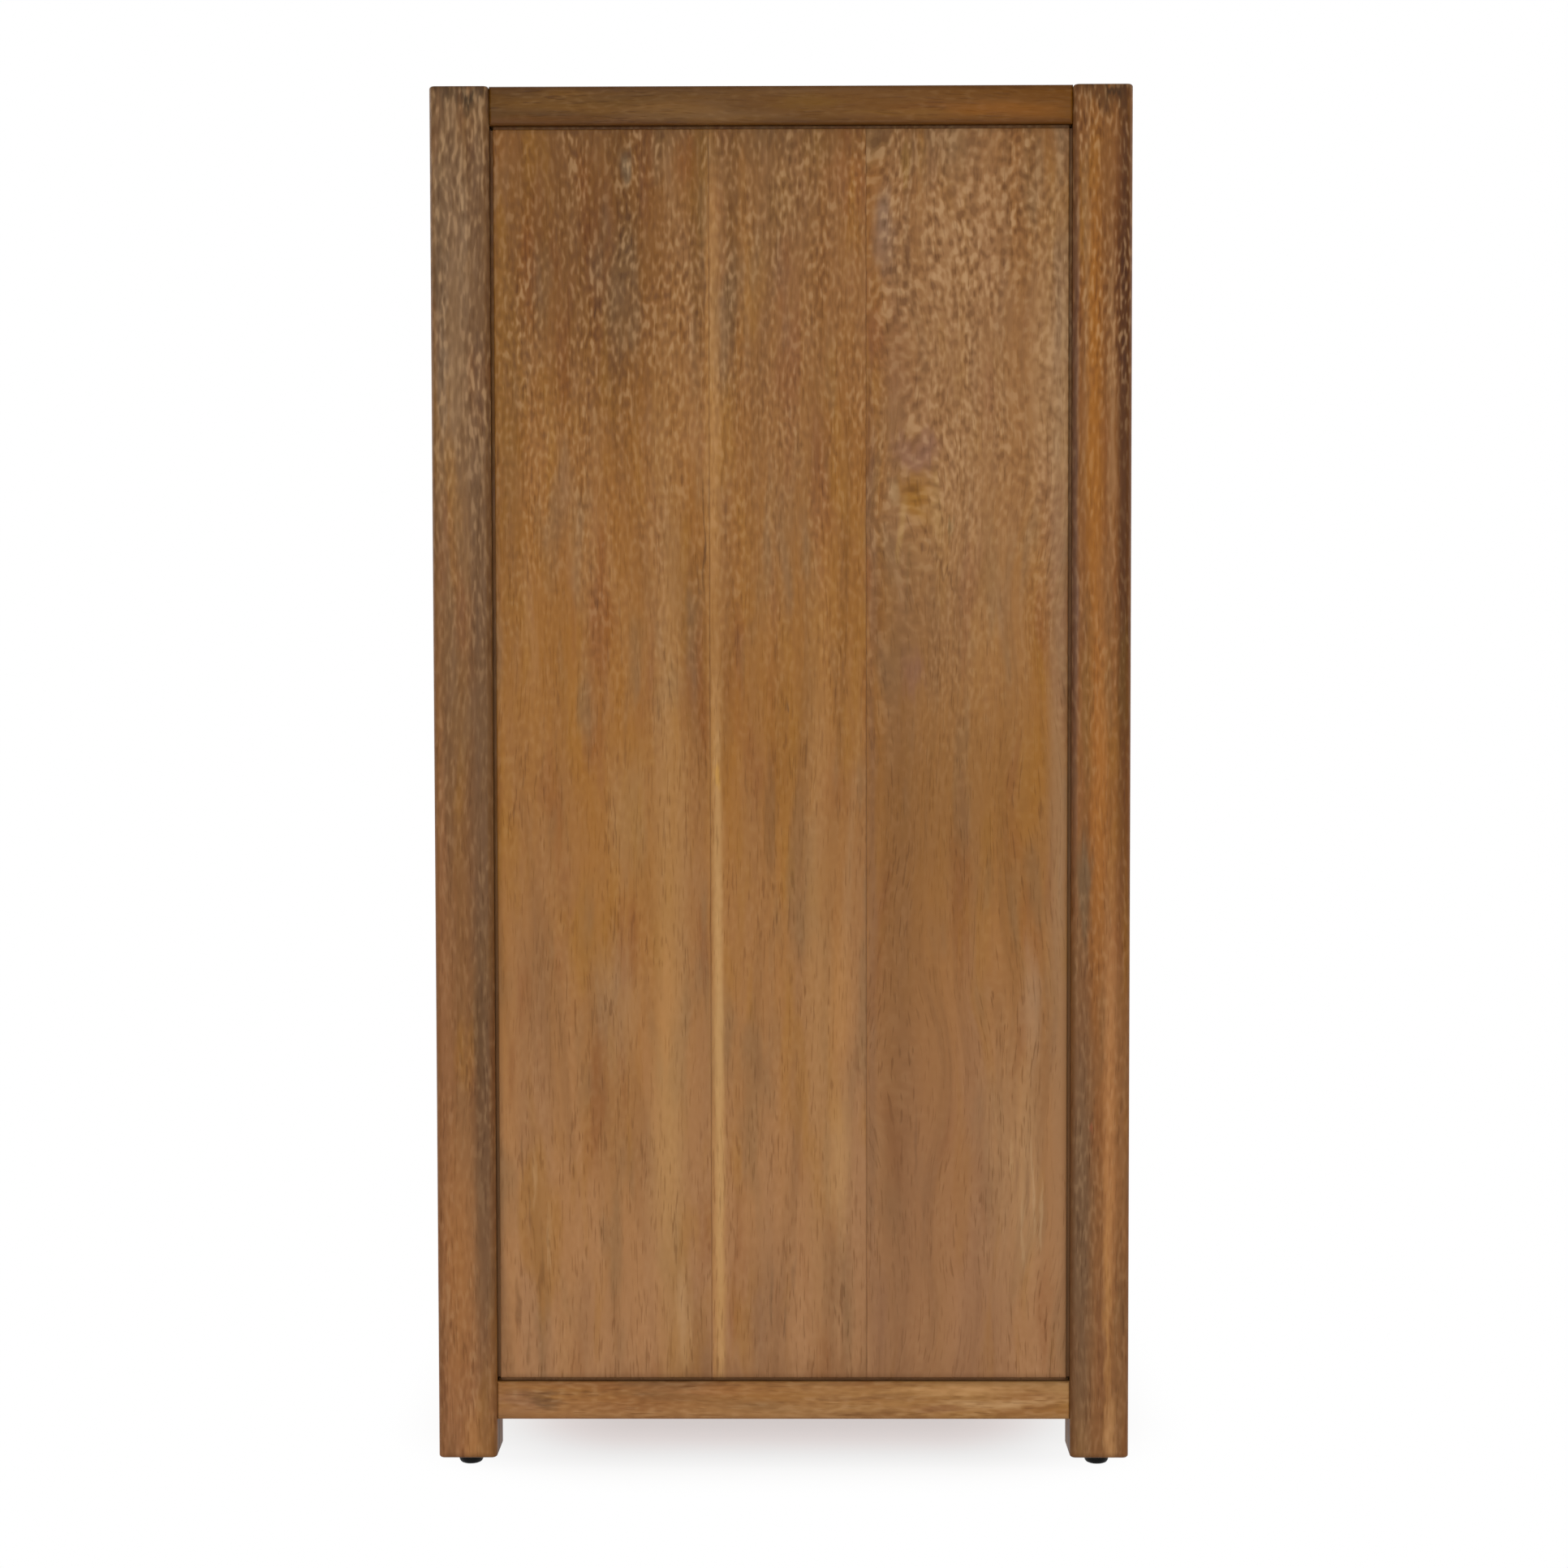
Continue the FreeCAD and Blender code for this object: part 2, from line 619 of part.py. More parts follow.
def scooped_outline(front, half, height):
    """A drawer front seen from the front, with an arc scooped out of the middle of its top edge."""
    scoop = "scoop_width / 2"
    radius = "((scoop_width / 2) ^ 2 + scoop_depth ^ 2) / (2 * scoop_depth)"
    corners = [(f"-{half}", "0"), (half, "0"), (half, height)]
    corners += [(scoop, height), (f"-{scoop}", height), (f"-{half}", height)]
    sketch = new_sketch(front, "XZ_Plane")
    for first, second in ((0, 1), (1, 2), (2, 3), (4, 5), (5, 0)):
        sketch.addGeometry(Part.LineSegment(at(corners[first]), at(corners[second])), False)
    centre = Vector(0, value(f"{height} - scoop_depth + {radius}"), 0)
    circle = Part.Circle(centre, Vector(0, 0, 1), value(radius))
    low = math.asin(value(f"scoop_width / 2 / ({radius})"))
    arc = sketch.addGeometry(Part.ArcOfCircle(circle, 1.5 * math.pi - low, 1.5 * math.pi + low), False)
    for first, first_end, second, second_end in (
        (0, 2, 1, 1), (1, 2, 2, 1), (2, 2, arc, 2), (arc, 1, 3, 1), (3, 2, 4, 1), (4, 2, 0, 1),
    ):
        join(sketch, first, first_end, second, second_end)
    for line, end, corner in ((0, 1, 0), (1, 1, 1), (2, 1, 2), (2, 2, 3), (3, 1, 4), (4, 1, 5)):
        hold(sketch, line, end, corners[corner])
    held = sketch.addConstraint(Sketcher.Constraint("Radius", arc, value(radius)))
    bind(sketch, f"Constraints[{held}]", radius)
    return sketch


def make_front(number):
    """A drawer front with a scooped finger pull, and grooves behind it for the sides and the bottom."""
    name = f"drawer_{number}_front"
    front = new_body(name)
    bind(front, "Placement.Base.y", BOX_FRONT)
    bind(front, "Placement.Base.z", f"{opening_floor(number)} + front_gap")
    sketch = scooped_outline(front, f"({LEG_IN_X} - front_gap)", f"({OPENING} - 2 * front_gap)")
    pad(front, sketch, "front_thick")
    lips = [lies_at("x", way * value("scoop_width / 2")) for way in (-1, 1)]
    round_edges(front, "scoop_round", lambda edge: runs_along("y")(edge) and any(lip(edge) for lip in lips))
    faces = [lies_at("y", 0), lies_at("y", -value("front_thick"))]
    round_edges(front, "front_round", lambda edge: any(face(edge) for face in faces))
    for side in SIDES:
        line = f"{sign(side)} * ({BOX_OUT} - side_thick / 2)"
        cut = front.newObject("PartDesign::Pocket", f"{name}_dovetail")
        cut.Profile = polygon(front, "XY_Plane", dovetail(line, "joint_clear", "joint_clear"))
        cut.Reversed = True
        bind(cut, "Length", f"box_lift - front_gap + {SIDE_HEIGHT} + joint_clear")
    bottom = "box_lift - front_gap + bottom_lift"
    block(front, "Subtractive", {
        "x": grown((f"-{BOX_IN}", BOX_IN), "groove_depth"),
        "y": ("-groove_depth", "joint_clear"),
        "z": grown((bottom, f"{bottom} + bottom_thick"), "joint_clear"),
    })
    keep(name, front)


def make_side_board(number, side):
    """A drawer side with a sliding dovetail in front, a groove for the bottom and a dado for the back."""
    name = f"drawer_{number}_{side}_side"
    board = new_body(name)
    bind(board, "Placement.Base.x", f"{sign(side)} * ({BOX_OUT} - side_thick / 2)")
    bind(board, "Placement.Base.y", BOX_FRONT)
    bind(board, "Placement.Base.z", f"{opening_floor(number)} + box_lift")
    half = "side_thick / 2"
    rear_end = [(half, "0"), (half, BOX_LENGTH), (f"-{half}", BOX_LENGTH), (f"-{half}", "0")]
    pad(board, polygon(board, "XY_Plane", dovetail("0", "0", "0") + rear_end), SIDE_HEIGHT)
    upper = lies_at("z", value(SIDE_HEIGHT))
    faces = [lies_at("x", way * value(half)) for way in (-1, 1)]
    round_edges(board, "side_round", lambda edge: upper(edge) and any(face(edge) for face in faces))
    block(board, "Subtractive", {
        "x": mirrored(side, (f"-{half}", f"groove_depth - {half}")),
        "y": ("-dovetail_depth", BOX_LENGTH),
        "z": grown(("bottom_lift", "bottom_lift + bottom_thick"), "joint_clear"),
    })
    rear_face = f"{BOX_LENGTH} - back_overhang"
    block(board, "Subtractive", {
        "x": mirrored(side, (f"-{half}", f"dado_depth - {half}")),
        "y": grown((f"{rear_face} - drawer_back_thick", rear_face), "joint_clear"),
        "z": ("bottom_lift", SIDE_HEIGHT),
    })
    for y in screw_places():
        seat = {"x": f"{sign(side)} * {half}", "y": f"{y} - {BOX_FRONT}", "z": f"{SIDE_HEIGHT} / 2"}
        bore(board, seat, (-sign(side), 0, 0), "screw_diameter", "drawer_screw_length - steel_thick")
    keep(name, board)


def make_drawer(number):
    make_front(number)
    for side in SIDES:
        make_side_board(number, side)
    floor = f"({opening_floor(number)} + box_lift)"
    bottom_top = f"({floor} + bottom_lift + bottom_thick)"
    back = new_body(f"drawer_{number}_back")
    block(back, "Additive", {
        "x": grown((f"-{BOX_IN}", BOX_IN), "dado_depth - joint_clear"),
        "y": (f"{DRAWER_BACK_REAR} - drawer_back_thick", DRAWER_BACK_REAR),
        "z": (bottom_top, f"{floor} + {SIDE_HEIGHT} - drawer_back_drop"),
    })
    upper = lies_at("z", value(f"{floor} + {SIDE_HEIGHT} - drawer_back_drop"))
    round_edges(back, "side_round", lambda edge: upper(edge) and runs_along("x")(edge))
    keep(back.Name, back)
    bottom = new_body(f"drawer_{number}_bottom")
    block(bottom, "Additive", {
        "x": grown((f"-{BOX_IN}", BOX_IN), "groove_depth - joint_clear"),
        "y": (f"{BOX_FRONT} - groove_depth + joint_clear", DRAWER_BACK_REAR),
        "z": (f"{floor} + bottom_lift", bottom_top),
    })
    keep(bottom.Name, bottom)


def export():
    """Checks every object and writes each piece to its own file."""
    doc.recompute()
    failed = [thing.Name for thing in doc.Objects if {"Invalid", "Error"} & set(thing.State)]
    failed += [name for name, made in pieces.items() if made.Shape.isNull() or not made.Shape.isValid()]
    if failed:
        raise RuntimeError(f"these objects failed: {failed}")
    os.makedirs("parts", exist_ok=True)
    for name, made in pieces.items():
        made.Shape.exportStep(os.path.join("parts", f"{name}.step"))
        print(f"{name}: {len(made.Shape.Solids)} solids, {made.Shape.Volume / 1000:.1f} cm3")


outer_members, outer_screws = [], []
for where in SIDES:
    make_side(where)
make_cross_rails()
make_top()
make_back()
make_legs()
make_glides()
for drawer in range(1, DRAWERS + 1):
    make_drawer(drawer)
    make_slides(drawer, outer_members, outer_screws)
group("slide_case_members", outer_members)
group("slide_case_screws", outer_screws)
export()
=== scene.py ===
"""Looks of a frame-and-panel dresser with four inset drawers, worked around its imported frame.

The timber, steel and plastic are procedural materials on Object coordinates. The glides, screws and slides
are surfaces worked out on grids, and stand for the plain solids of the frame. Lengths are in metres unless
a name or comment says mm, and colours are sRGB hex values.
"""

import math
import random
from dataclasses import dataclass
from functools import partial
from typing import NamedTuple

import bmesh
import bpy
import numpy as np
from mathutils import Matrix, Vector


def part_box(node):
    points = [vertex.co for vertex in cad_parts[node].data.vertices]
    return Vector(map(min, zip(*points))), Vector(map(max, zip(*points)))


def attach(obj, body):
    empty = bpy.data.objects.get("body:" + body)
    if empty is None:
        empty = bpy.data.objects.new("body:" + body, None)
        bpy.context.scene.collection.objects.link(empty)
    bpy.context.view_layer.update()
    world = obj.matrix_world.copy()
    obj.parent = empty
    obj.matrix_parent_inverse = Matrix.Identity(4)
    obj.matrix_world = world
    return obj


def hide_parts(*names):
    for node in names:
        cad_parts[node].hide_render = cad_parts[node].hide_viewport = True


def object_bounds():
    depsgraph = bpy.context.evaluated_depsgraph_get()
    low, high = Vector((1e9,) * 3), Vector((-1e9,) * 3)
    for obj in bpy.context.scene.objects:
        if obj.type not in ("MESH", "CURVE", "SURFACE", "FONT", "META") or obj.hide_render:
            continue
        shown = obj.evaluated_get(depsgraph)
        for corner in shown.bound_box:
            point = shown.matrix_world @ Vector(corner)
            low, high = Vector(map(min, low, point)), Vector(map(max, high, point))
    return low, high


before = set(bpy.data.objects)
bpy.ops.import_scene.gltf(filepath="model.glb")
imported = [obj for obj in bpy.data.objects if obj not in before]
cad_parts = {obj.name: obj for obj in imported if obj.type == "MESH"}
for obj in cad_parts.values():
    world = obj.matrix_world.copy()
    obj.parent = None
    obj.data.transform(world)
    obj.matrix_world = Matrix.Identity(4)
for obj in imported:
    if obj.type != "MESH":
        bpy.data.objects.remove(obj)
CAD_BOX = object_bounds()

bl_info = {
    "name": "Dresser looks",
    "version": (1, 0, 0),
    "blender": (4, 5, 0),
    "location": "3D View > Sidebar > Dresser",
    "description": "Timber, fittings and stage of a frame-and-panel dresser",
    "category": "Object",
}

MM = 0.001
DRAWERS = range(1, 5)
SIDES = ("left", "right")
ENDS = ("front", "back")
LEVELS = ("top", "bottom")
WHITE = (1, 1, 1, 1)
# Levels that most of a noise lies between
NOISE_SPAN = {"From Min": 0.3, "From Max": 0.7}
# Slides, screws and glides each lie further apart than their gap, and the points of one lie closer
SLIDE_GAP = 60 * MM
SCREW_GAP = 25 * MM
GLIDE_GAP = 60 * MM
# Glue lines of the side panels and the top, in mm from the middle. For each of their boards: how lively its
# flecks are, the sway of its grain in mm, and how much rounder than usual its flecks are
GLUE_LINES = (-52.45, 61.55)
BOARDS = ((1.02, 14, 1.4), (0.92, 10, 1.4), (1.17, 42, 1.8))
FACE_STRAYS = ("#7E4A1E", "#84694F", "#9A6A2E", "#6A4A2E", "#A97E52")


# Properties

def linear(hex_colour):
    """Linear RGBA of an sRGB hex colour."""
    srgb = np.array([int(hex_colour[k:k + 2], 16) for k in (1, 3, 5)]) / 255
    rgb = np.where(srgb <= 0.04045, srgb / 12.92, ((srgb + 0.055) / 1.055) ** 2.4)
    return (*rgb.tolist(), 1.0)


def colour(name, default, description):
    """A colour that a user may change."""
    return bpy.props.FloatVectorProperty(
        name=name, description=description, default=linear(default), size=4, min=0, max=1, subtype="COLOR")


def length(name, mm, description):
    """A length that a user may change, its default given in millimetres."""
    return bpy.props.FloatProperty(
        name=name, description=description, default=mm * MM, min=0, unit="LENGTH")


def share(name, default, description):
    """A number from 0 to 1 that a user may change."""
    return bpy.props.FloatProperty(
        name=name, description=description, default=default, min=0, max=1, subtype="FACTOR")


def group_of(kind, name, description):
    """A group of properties inside another."""
    return bpy.props.PointerProperty(name=name, description=description, type=kind)


STAIN_ROLES = {
    "low": "Ground colour at the lower or first end of a board",
    "middle": "Ground colour at the middle of a board",
    "high": "Ground colour at the upper or last end of a board",
    "russet": "Reddish patches",
    "honey": "Golden patches",
    "mauve": "Greyish patches",
    # The light flecks are partly the wood's figure and partly a painted glint of the lacquer
    "light": "Short light flecks where the stain has not taken",
    # The dark colour also darkens the edges, partly as painted shade on their rounding
    "dark": "Open pores and short dark flecks, where the stain gathers",
}


def stain(*defaults):
    """Colour properties of one timber, one for each role."""
    return {role: colour(role.capitalize(), default, text)
            for (role, text), default in zip(STAIN_ROLES.items(), defaults)}


class StainedAcacia(bpy.types.PropertyGroup):
    """Colours of the brown-stained acacia of the case and the drawer fronts."""

    __annotations__ = stain(
        "#AA7D54", "#9A6628", "#885826", "#81481A", "#9C6A22", "#7E6140", "#B8946A", "#4A2A0E")


class LacqueredRubberwood(bpy.types.PropertyGroup):
    """Colours of the clear-lacquered rubberwood of the drawer boxes and the battens."""

    __annotations__ = stain(
        "#D3AE7C", "#CFA873", "#C9A06B", "#BF8E58", "#D8B072", "#C3A482", "#E2C69B", "#8A6238")


class BirchPlywood(bpy.types.PropertyGroup):
    """Colours of the sealed birch plywood of the drawer bottoms."""

    __annotations__ = stain(
        "#D9BC8F", "#D6B686", "#D2B07E", "#C49A68", "#DDBD86", "#CDB597", "#E8D3AE", "#A07A4C")


class GrainSizes(bpy.types.PropertyGroup):
    """Real sizes of the figure of the wood."""

    band_width: length("Band width", 9, "Width of a band of growth rings")
    band_length: length("Band length", 420, "Length over which a band keeps its tone")
    fleck_width: length("Fleck width", 2.5, "Width of a short fleck")
    fleck_length: length("Fleck length", 8.5, "Length of a short fleck")
    pore_width: length("Pore width", 1.3, "Width of an open pore, drawn thrice as wide as it is to show")
    pore_length: length("Pore length", 17, "Length of an open pore")
    # Along the edges the wood darkens, partly from stain gathered there and partly as painted shade on the
    # rounded edges
    edge_width: length("Stained edge", 5, "Width along each edge where the stain gathers")
    relief: length("Relief", 0.18, "Depth of the open grain under the lacquer")


class FittingSizes(bpy.types.PropertyGroup):
    """Sizes and colours of the steel and plastic fittings."""

    bend_radius: length("Bend radius", 2.4, "Outer radius of the bends of the slide members")
    steel_thick: length("Steel thickness", 1.2, "Wall of the slide members")
    bead_height: length("Bead height", 0.5, "How far the two stiffening beads stand up from a slide's web")
    bead_width: length("Bead width", 3.6, "Width of a stiffening bead")
    thread_pitch: length("Thread pitch", 1.6, "Distance between the turns of a screw's thread")
    thread_depth: length("Thread depth", 0.45, "Depth of a screw's thread")
    recess_width: length("Recess width", 1.1, "Width of the arms of a screw's cross recess")
    recess_reach: length("Recess reach", 2.1, "Half the length of the arms of a screw's cross recess")
    zinc: colour("Zinc", "#B7BBBF", "Zinc plating of the slides and screws")
    zinc_dull: colour("Dull zinc", "#A0A5A8", "Zinc plating where it has dulled")
    zinc_line: colour("Rolling lines", "#8C8E90", "Fine lines that rolling leaves along the strip")
    plastic: colour("Glide plastic", "#060606", "Black plastic of the floor glides")
    plastic_bloom: colour("Glide bloom", "#1A1918", "Faint grey bloom on the floor glides")


class StageLooks(bpy.types.PropertyGroup):
    """Floor, light and camera."""

    floor: colour("Floor", "#F4EDE9", "Pale floor")
    # A painted warm reflection of the timber, seen by the camera on the floor by the dresser
    floor_painted_bounce: colour("Floor blush", "#FFF7F6", "White of the floor by the dresser, warmed by the timber")
    floor_glow: share("Floor glow", 0.6, "How far the floor under the dresser is white for the camera")
    shadow_fade: length("Shadow fade", 140, "How far inside the footprint the shadow begins to fade")
    ambient: share("Ambient", 0.32, "Light that comes evenly from all round")
    camera_place: bpy.props.FloatVectorProperty(
        name="Camera place", description="Where the camera stands", default=(2.4163, 0.0171, 0.5903),
        subtype="TRANSLATION", unit="LENGTH")
    camera_turn: bpy.props.FloatVectorProperty(
        name="Camera turn", description="Pitch down, turn to the left and roll of the camera",
        default=[math.radians(angle) for angle in (2.478, 0.458, -0.111)], subtype="EULER", unit="ROTATION")
    focal_length: bpy.props.FloatProperty(
        name="Focal length", description="Focal length on a 36 mm sensor", default=61.81, min=1,
        unit="CAMERA")


class DresserLooks(bpy.types.PropertyGroup):
    """Everything that a user of the dresser may change."""

    acacia: group_of(StainedAcacia, "Acacia", "Case and drawer fronts")
    rubberwood: group_of(LacqueredRubberwood, "Rubberwood", "Drawer boxes and battens")
    plywood: group_of(BirchPlywood, "Plywood", "Drawer bottoms")
    grain: group_of(GrainSizes, "Grain", "Sizes of the figure")
    fittings: group_of(FittingSizes, "Fittings", "Steel and plastic")
    stage: group_of(StageLooks, "Stage", "Floor, light and camera")


# Materials

def add_node(tree, kind, inputs, **settings):
    """Adds a shader node. Inputs go by name or number: a value, a socket, or a node for its first output."""
    made = tree.nodes.new(f"ShaderNode{kind}")
    for name, setting in settings.items():
        setattr(made, name, setting)
    for key, value in inputs.items():
        if isinstance(value, bpy.types.Node):
            value = value.outputs[0]
        if isinstance(value, bpy.types.NodeSocket):
            tree.links.new(value, made.inputs[key])
        else:
            made.inputs[key].default_value = value
    return made


def new_material(name):
    """An empty node material, and the function that adds nodes to it."""
    material = bpy.data.materials.new(name)
    material.use_nodes = True
    material.node_tree.nodes.clear()
    return material, partial(add_node, material.node_tree)


def figure(node, place, size, seed, detail=2.0):
    """Noise whose light and dark figures are about size wide in metres along each axis of place."""
    scaled = node("VectorMath", {
        0: place, 1: [1 / width for width in size], 2: [seed, seed * 0.7, -seed],
    }, operation="MULTIPLY_ADD")
    return node("TexNoise", {"Vector": scaled, "Scale": 1.0, "Detail": detail, "Roughness": 0.55})


def lay(node, tint, over, value, start, stop, most, mode="MIX"):
    """Lays a colour over a tint where a value passes from start to stop, up to the share that most gives.

    A smooth step stays between its ends by itself. A clamp would make the shader work out every amount before
    it lays the first, and a board with many marks would then need more room than a shader has.
    """
    amount = node("MapRange", {"Value": value, "From Min": start, "From Max": stop, "To Max": most},
                  interpolation_type="SMOOTHSTEP", clamp=False)
    return node("MixRGB", {"Fac": amount, "Color1": tint, "Color2": over}, blend_type=mode)


def seen_directly(node):
    """1 where the camera, a reflection or a view through glass looks, and 0 where only light arrives."""
    path = node("LightPath", {}).outputs
    seen = node("Math", {0: path["Is Camera Ray"], 1: path["Is Glossy Ray"]}, operation="MAXIMUM")
    return node("Math", {0: seen, 1: path["Is Transmission Ray"]}, operation="MAXIMUM")


class Mark(NamedTuple):
    """A soft oval of stain: middle and half sizes in mm across and along the grain, and lean in degrees."""

    across: float
    along: float
    half_width: float
    half_length: float
    stain: str
    strength: float
    lean: float = 0.0


def mark_distance(node, place, mark):
    """Distance from the middle of a mark, 1 at its rim: the length of a point's way from the middle, across
    and along the grain, over the half sizes."""
    middle = np.array((mark.across, 0, mark.along)) * MM
    shrink = np.array((1 / mark.half_width, 0, 1 / mark.half_length)) / MM
    if mark.lean:
        place = node("VectorRotate", {"Vector": place, "Center": middle, "Angle": math.radians(mark.lean)},
                     rotation_type="Y_AXIS", invert=True)
    centred = node("VectorMath", {0: place, 1: shrink, 2: -middle * shrink}, operation="MULTIPLY_ADD")
    return node("VectorMath", {0: centred}, operation="LENGTH").outputs["Value"]


def edge_distance(node, place, low, high):
    """How far a point on a box's surface is from the box's nearest edge.

    Of the three distances to the box's pairs of faces, one is nothing on the face that the point lies on, and
    the middle one is the distance to the nearest edge.
    """
    from_middle = node("VectorMath", {0: place, 1: (low + high) / 2}, operation="SUBTRACT")
    reach = node("VectorMath", {0: from_middle}, operation="ABSOLUTE")
    inside = node("VectorMath", {0: (high - low) / 2, 1: reach}, operation="SUBTRACT")
    first, second, third = node("SeparateXYZ", {0: inside}).outputs
    lesser = node("Math", {0: first, 1: second}, operation="MINIMUM")
    greater = node("Math", {0: first, 1: second}, operation="MAXIMUM")
    capped = node("Math", {0: greater, 1: third}, operation="MINIMUM")
    return node("Math", {0: lesser, 1: capped}, operation="MAXIMUM")


@dataclass
class Cut:
    """How a board lies in the tree and takes its stain."""

    axes: str  # axes across, through and along the grain
    seed: float  # where the board lies in the noise
    stops: tuple = ()  # ground colours from the first end to the last, in place of the timber's own
    seams: tuple = ()  # glue lines in mm across the grain
    boards: tuple = ((1, 14, 1),)  # liveliness, sway and roundness of each glued board, as in BOARDS
    marks: tuple = ()  # rows of Mark
    knots: tuple = ()  # places in mm across and along the grain
    flecks: tuple = (0.5, 0.5)  # strength of the flecks at the first and the last end; the pale ones are partly painted glint
    patches: tuple = (0.6, 0.6)  # strength of the uneven stain at the first and the last end
    bands: float = 0.3  # strength of the growth rings
    edges: float = 0.45  # strength of the darkening at the edges: gathered stain and painted shade
    trim: tuple = (0, 0, 0)  # how far in mm the shown face stops short across, through and along
    pith: tuple = (40, -60)  # pith line in mm across and through, from the middle of the board
    lean: float = 0.03  # lean of the pith line in radians
    shaded_groove: tuple = ()  # where a joint or reveal hides the face, which gets painted shade there: axis, distance from the middle and reach in mm


class Timber:
    """A sawn board. The eye gets bands from the growth rings, patches of uneven stain, short flecks and open
    pores along the grain, darker end grain, and edges darkened by gathered stain and by painted shade, all
    under a satin lacquer. The pale flecks are partly a painted glint of the lacquer, and the faces in a joint
    are darkened as painted shade."""

    # Widths in mm of the larger figures across, through and along the grain
    SWAY = (70, 200, 200)
    BROAD = (30, 40, 600)
    PATCH = (22, 30, 130)
    CROWD = (16, 30, 90)
    WORN = (6, 12, 35)
    # The next board is cut this far off in the tree, in metres
    NEXT_BOARD = (0.31, 0.17, 0.733)
    # How far the sway goes across, through and along, for each mm of it
    SWAY_WAY = np.array((1, 0.3, 0)) * MM
    # Half sizes in mm of the swell round a knot, how strong it is, and its pull across and along
    KNOT_HALF = (45, 80)
    KNOT_SWELL = 0.5
    KNOT_PULL = (-1, 0, 0.25)
    # How far the broad bands move the ground colour along the board, as a share of its length
    DRIFT = 0.6
    # How far the rims of marks, and of marks longer than this half length in mm, are torn
    RAGGED = np.array((10, 0, 50)) * MM
    CALM = np.array((4, 0, 20)) * MM
    LONG_MARK = 200
    # Where a mark begins and where it is full, as shares of its half sizes
    MARK_RIM = (1.0, 0.15)
    # Heights between which the flecks come in, as shares of the board, which makes the pale ones, partly
    # painted glint, grow towards the upper end, and how faint and strong they are where the noise leaves them
    # sparse and crowds them
    FLECK_HEIGHTS = (0.40, 0.92)
    CROWDING = {"From Min": 0.25, "From Max": 0.7, "To Min": 0.25, "To Max": 1.35}
    # Shares of the flecks' strength: the light and dark of them, and the pale sheen, partly pale stain and
    # partly painted glint
    FLECK_LIGHT = 0.6
    PALE_FLECK_SHEEN = 0.36
    # Share of the pores at the first and the last end
    PORES = (0.40, 0.28)
    # Levels of the noise where patches, pores and the pits over the pores begin and are full
    PATCH_LEVELS = (0.52, 0.72)
    PORE_LEVELS = (0.58, 0.70)
    PIT_LEVELS = (0.57, 0.70)
    # How much a pale fleck brightens the tint as painted glint, and how much of the tint a dark fleck and a
    # pore leave
    PALE_FLECK_GLINT = (0.33, 0.40, 0.50, 1)
    DARK = (0.50, 0.40, 0.28, 1)
    PORE = (0.42, 0.31, 0.19, 1)
    # Half width in mm and darkness of a glue line, and the painted shade on the faces in a joint
    GLUE_WIDTH = 0.7
    GLUE_SHARE = 0.3
    JOINT_SHADE = "#4A2A0C"
    JOINT_SHADE_SHARE = 0.6
    # How squarely a face lies across the grain where end grain begins and is full, and its darkness
    END_GRAIN = (0.6, 0.95, 0.35)
    # Lacquer: depth of a pit and height of a fleck as shares of the relief, how far the relief shows,
    # roughness where it is polished and where it is worn, and how much it shines
    PIT_DEPTH = 0.8
    FLECK_RISE = 0.5
    RELIEF_SHARE = 0.6
    SATIN = (0.40, 0.52)
    SHINE = 0.12

    def __init__(self, finish, piece, colours, cut):
        """Finds the board's own directions, and lays its looks from the ground colour up."""
        self.colours, self.cut, self.grain = colours, cut, bpy.context.scene.dresser.grain
        self.low, self.high = (np.array(corner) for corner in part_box(piece))
        material, self.node = new_material(f"{finish}_{piece}")
        coordinate = self.node("TexCoord", {}).outputs
        self.place, self.normal = coordinate["Object"], coordinate["Normal"]
        self.parts = self.node("SeparateXYZ", {0: self.place}).outputs
        self.across, through, self.along = (self.parts[name] for name in cut.axes)
        self.straight = self.node("CombineXYZ", {0: self.across, 1: through, 2: self.along})
        length_axis = "XYZ".index(cut.axes[2])
        self.height = self.node("MapRange", {
            "Value": self.along, "From Min": self.low[length_axis], "From Max": self.high[length_axis]})
        for layer in (self.join_boards, self.bend_grain, self.ground, self.rings, self.patches, self.marks,
                      self.flecks, self.joints, self.ends_and_edges, self.lacquer):
            layer()
        show(piece, material)

    def figure(self, place, size_mm, seed, detail):
        """Noise of a size in mm, at the board's own place in it."""
        return figure(self.node, place, [width * MM for width in size_mm], self.cut.seed + seed, detail)

    def lay(self, over, value, start, stop, most, mode="MIX"):
        """Lays a colour over the board's tint."""
        self.tint = lay(self.node, self.tint, over, value, start, stop, most, mode)

    def join_boards(self):
        """Each glued board is another piece of the tree, with its own liveliness, sway and roundness."""
        node, cut = self.node, self.cut
        self.own, traits = self.straight, list(cut.boards[0])
        for seam, board, before in zip(cut.seams, cut.boards[1:], cut.boards):
            beyond = node("Math", {0: self.across, 1: seam * MM}, operation="GREATER_THAN")
            self.own = node("VectorMath", {0: beyond, 1: self.NEXT_BOARD, 2: self.own},
                            operation="MULTIPLY_ADD")
            for k, (new, old) in enumerate(zip(board, before)):
                traits[k] = node("Math", {0: beyond, 1: new - old, 2: traits[k]}, operation="MULTIPLY_ADD")
        self.liveliness, self.sway, self.roundness = traits

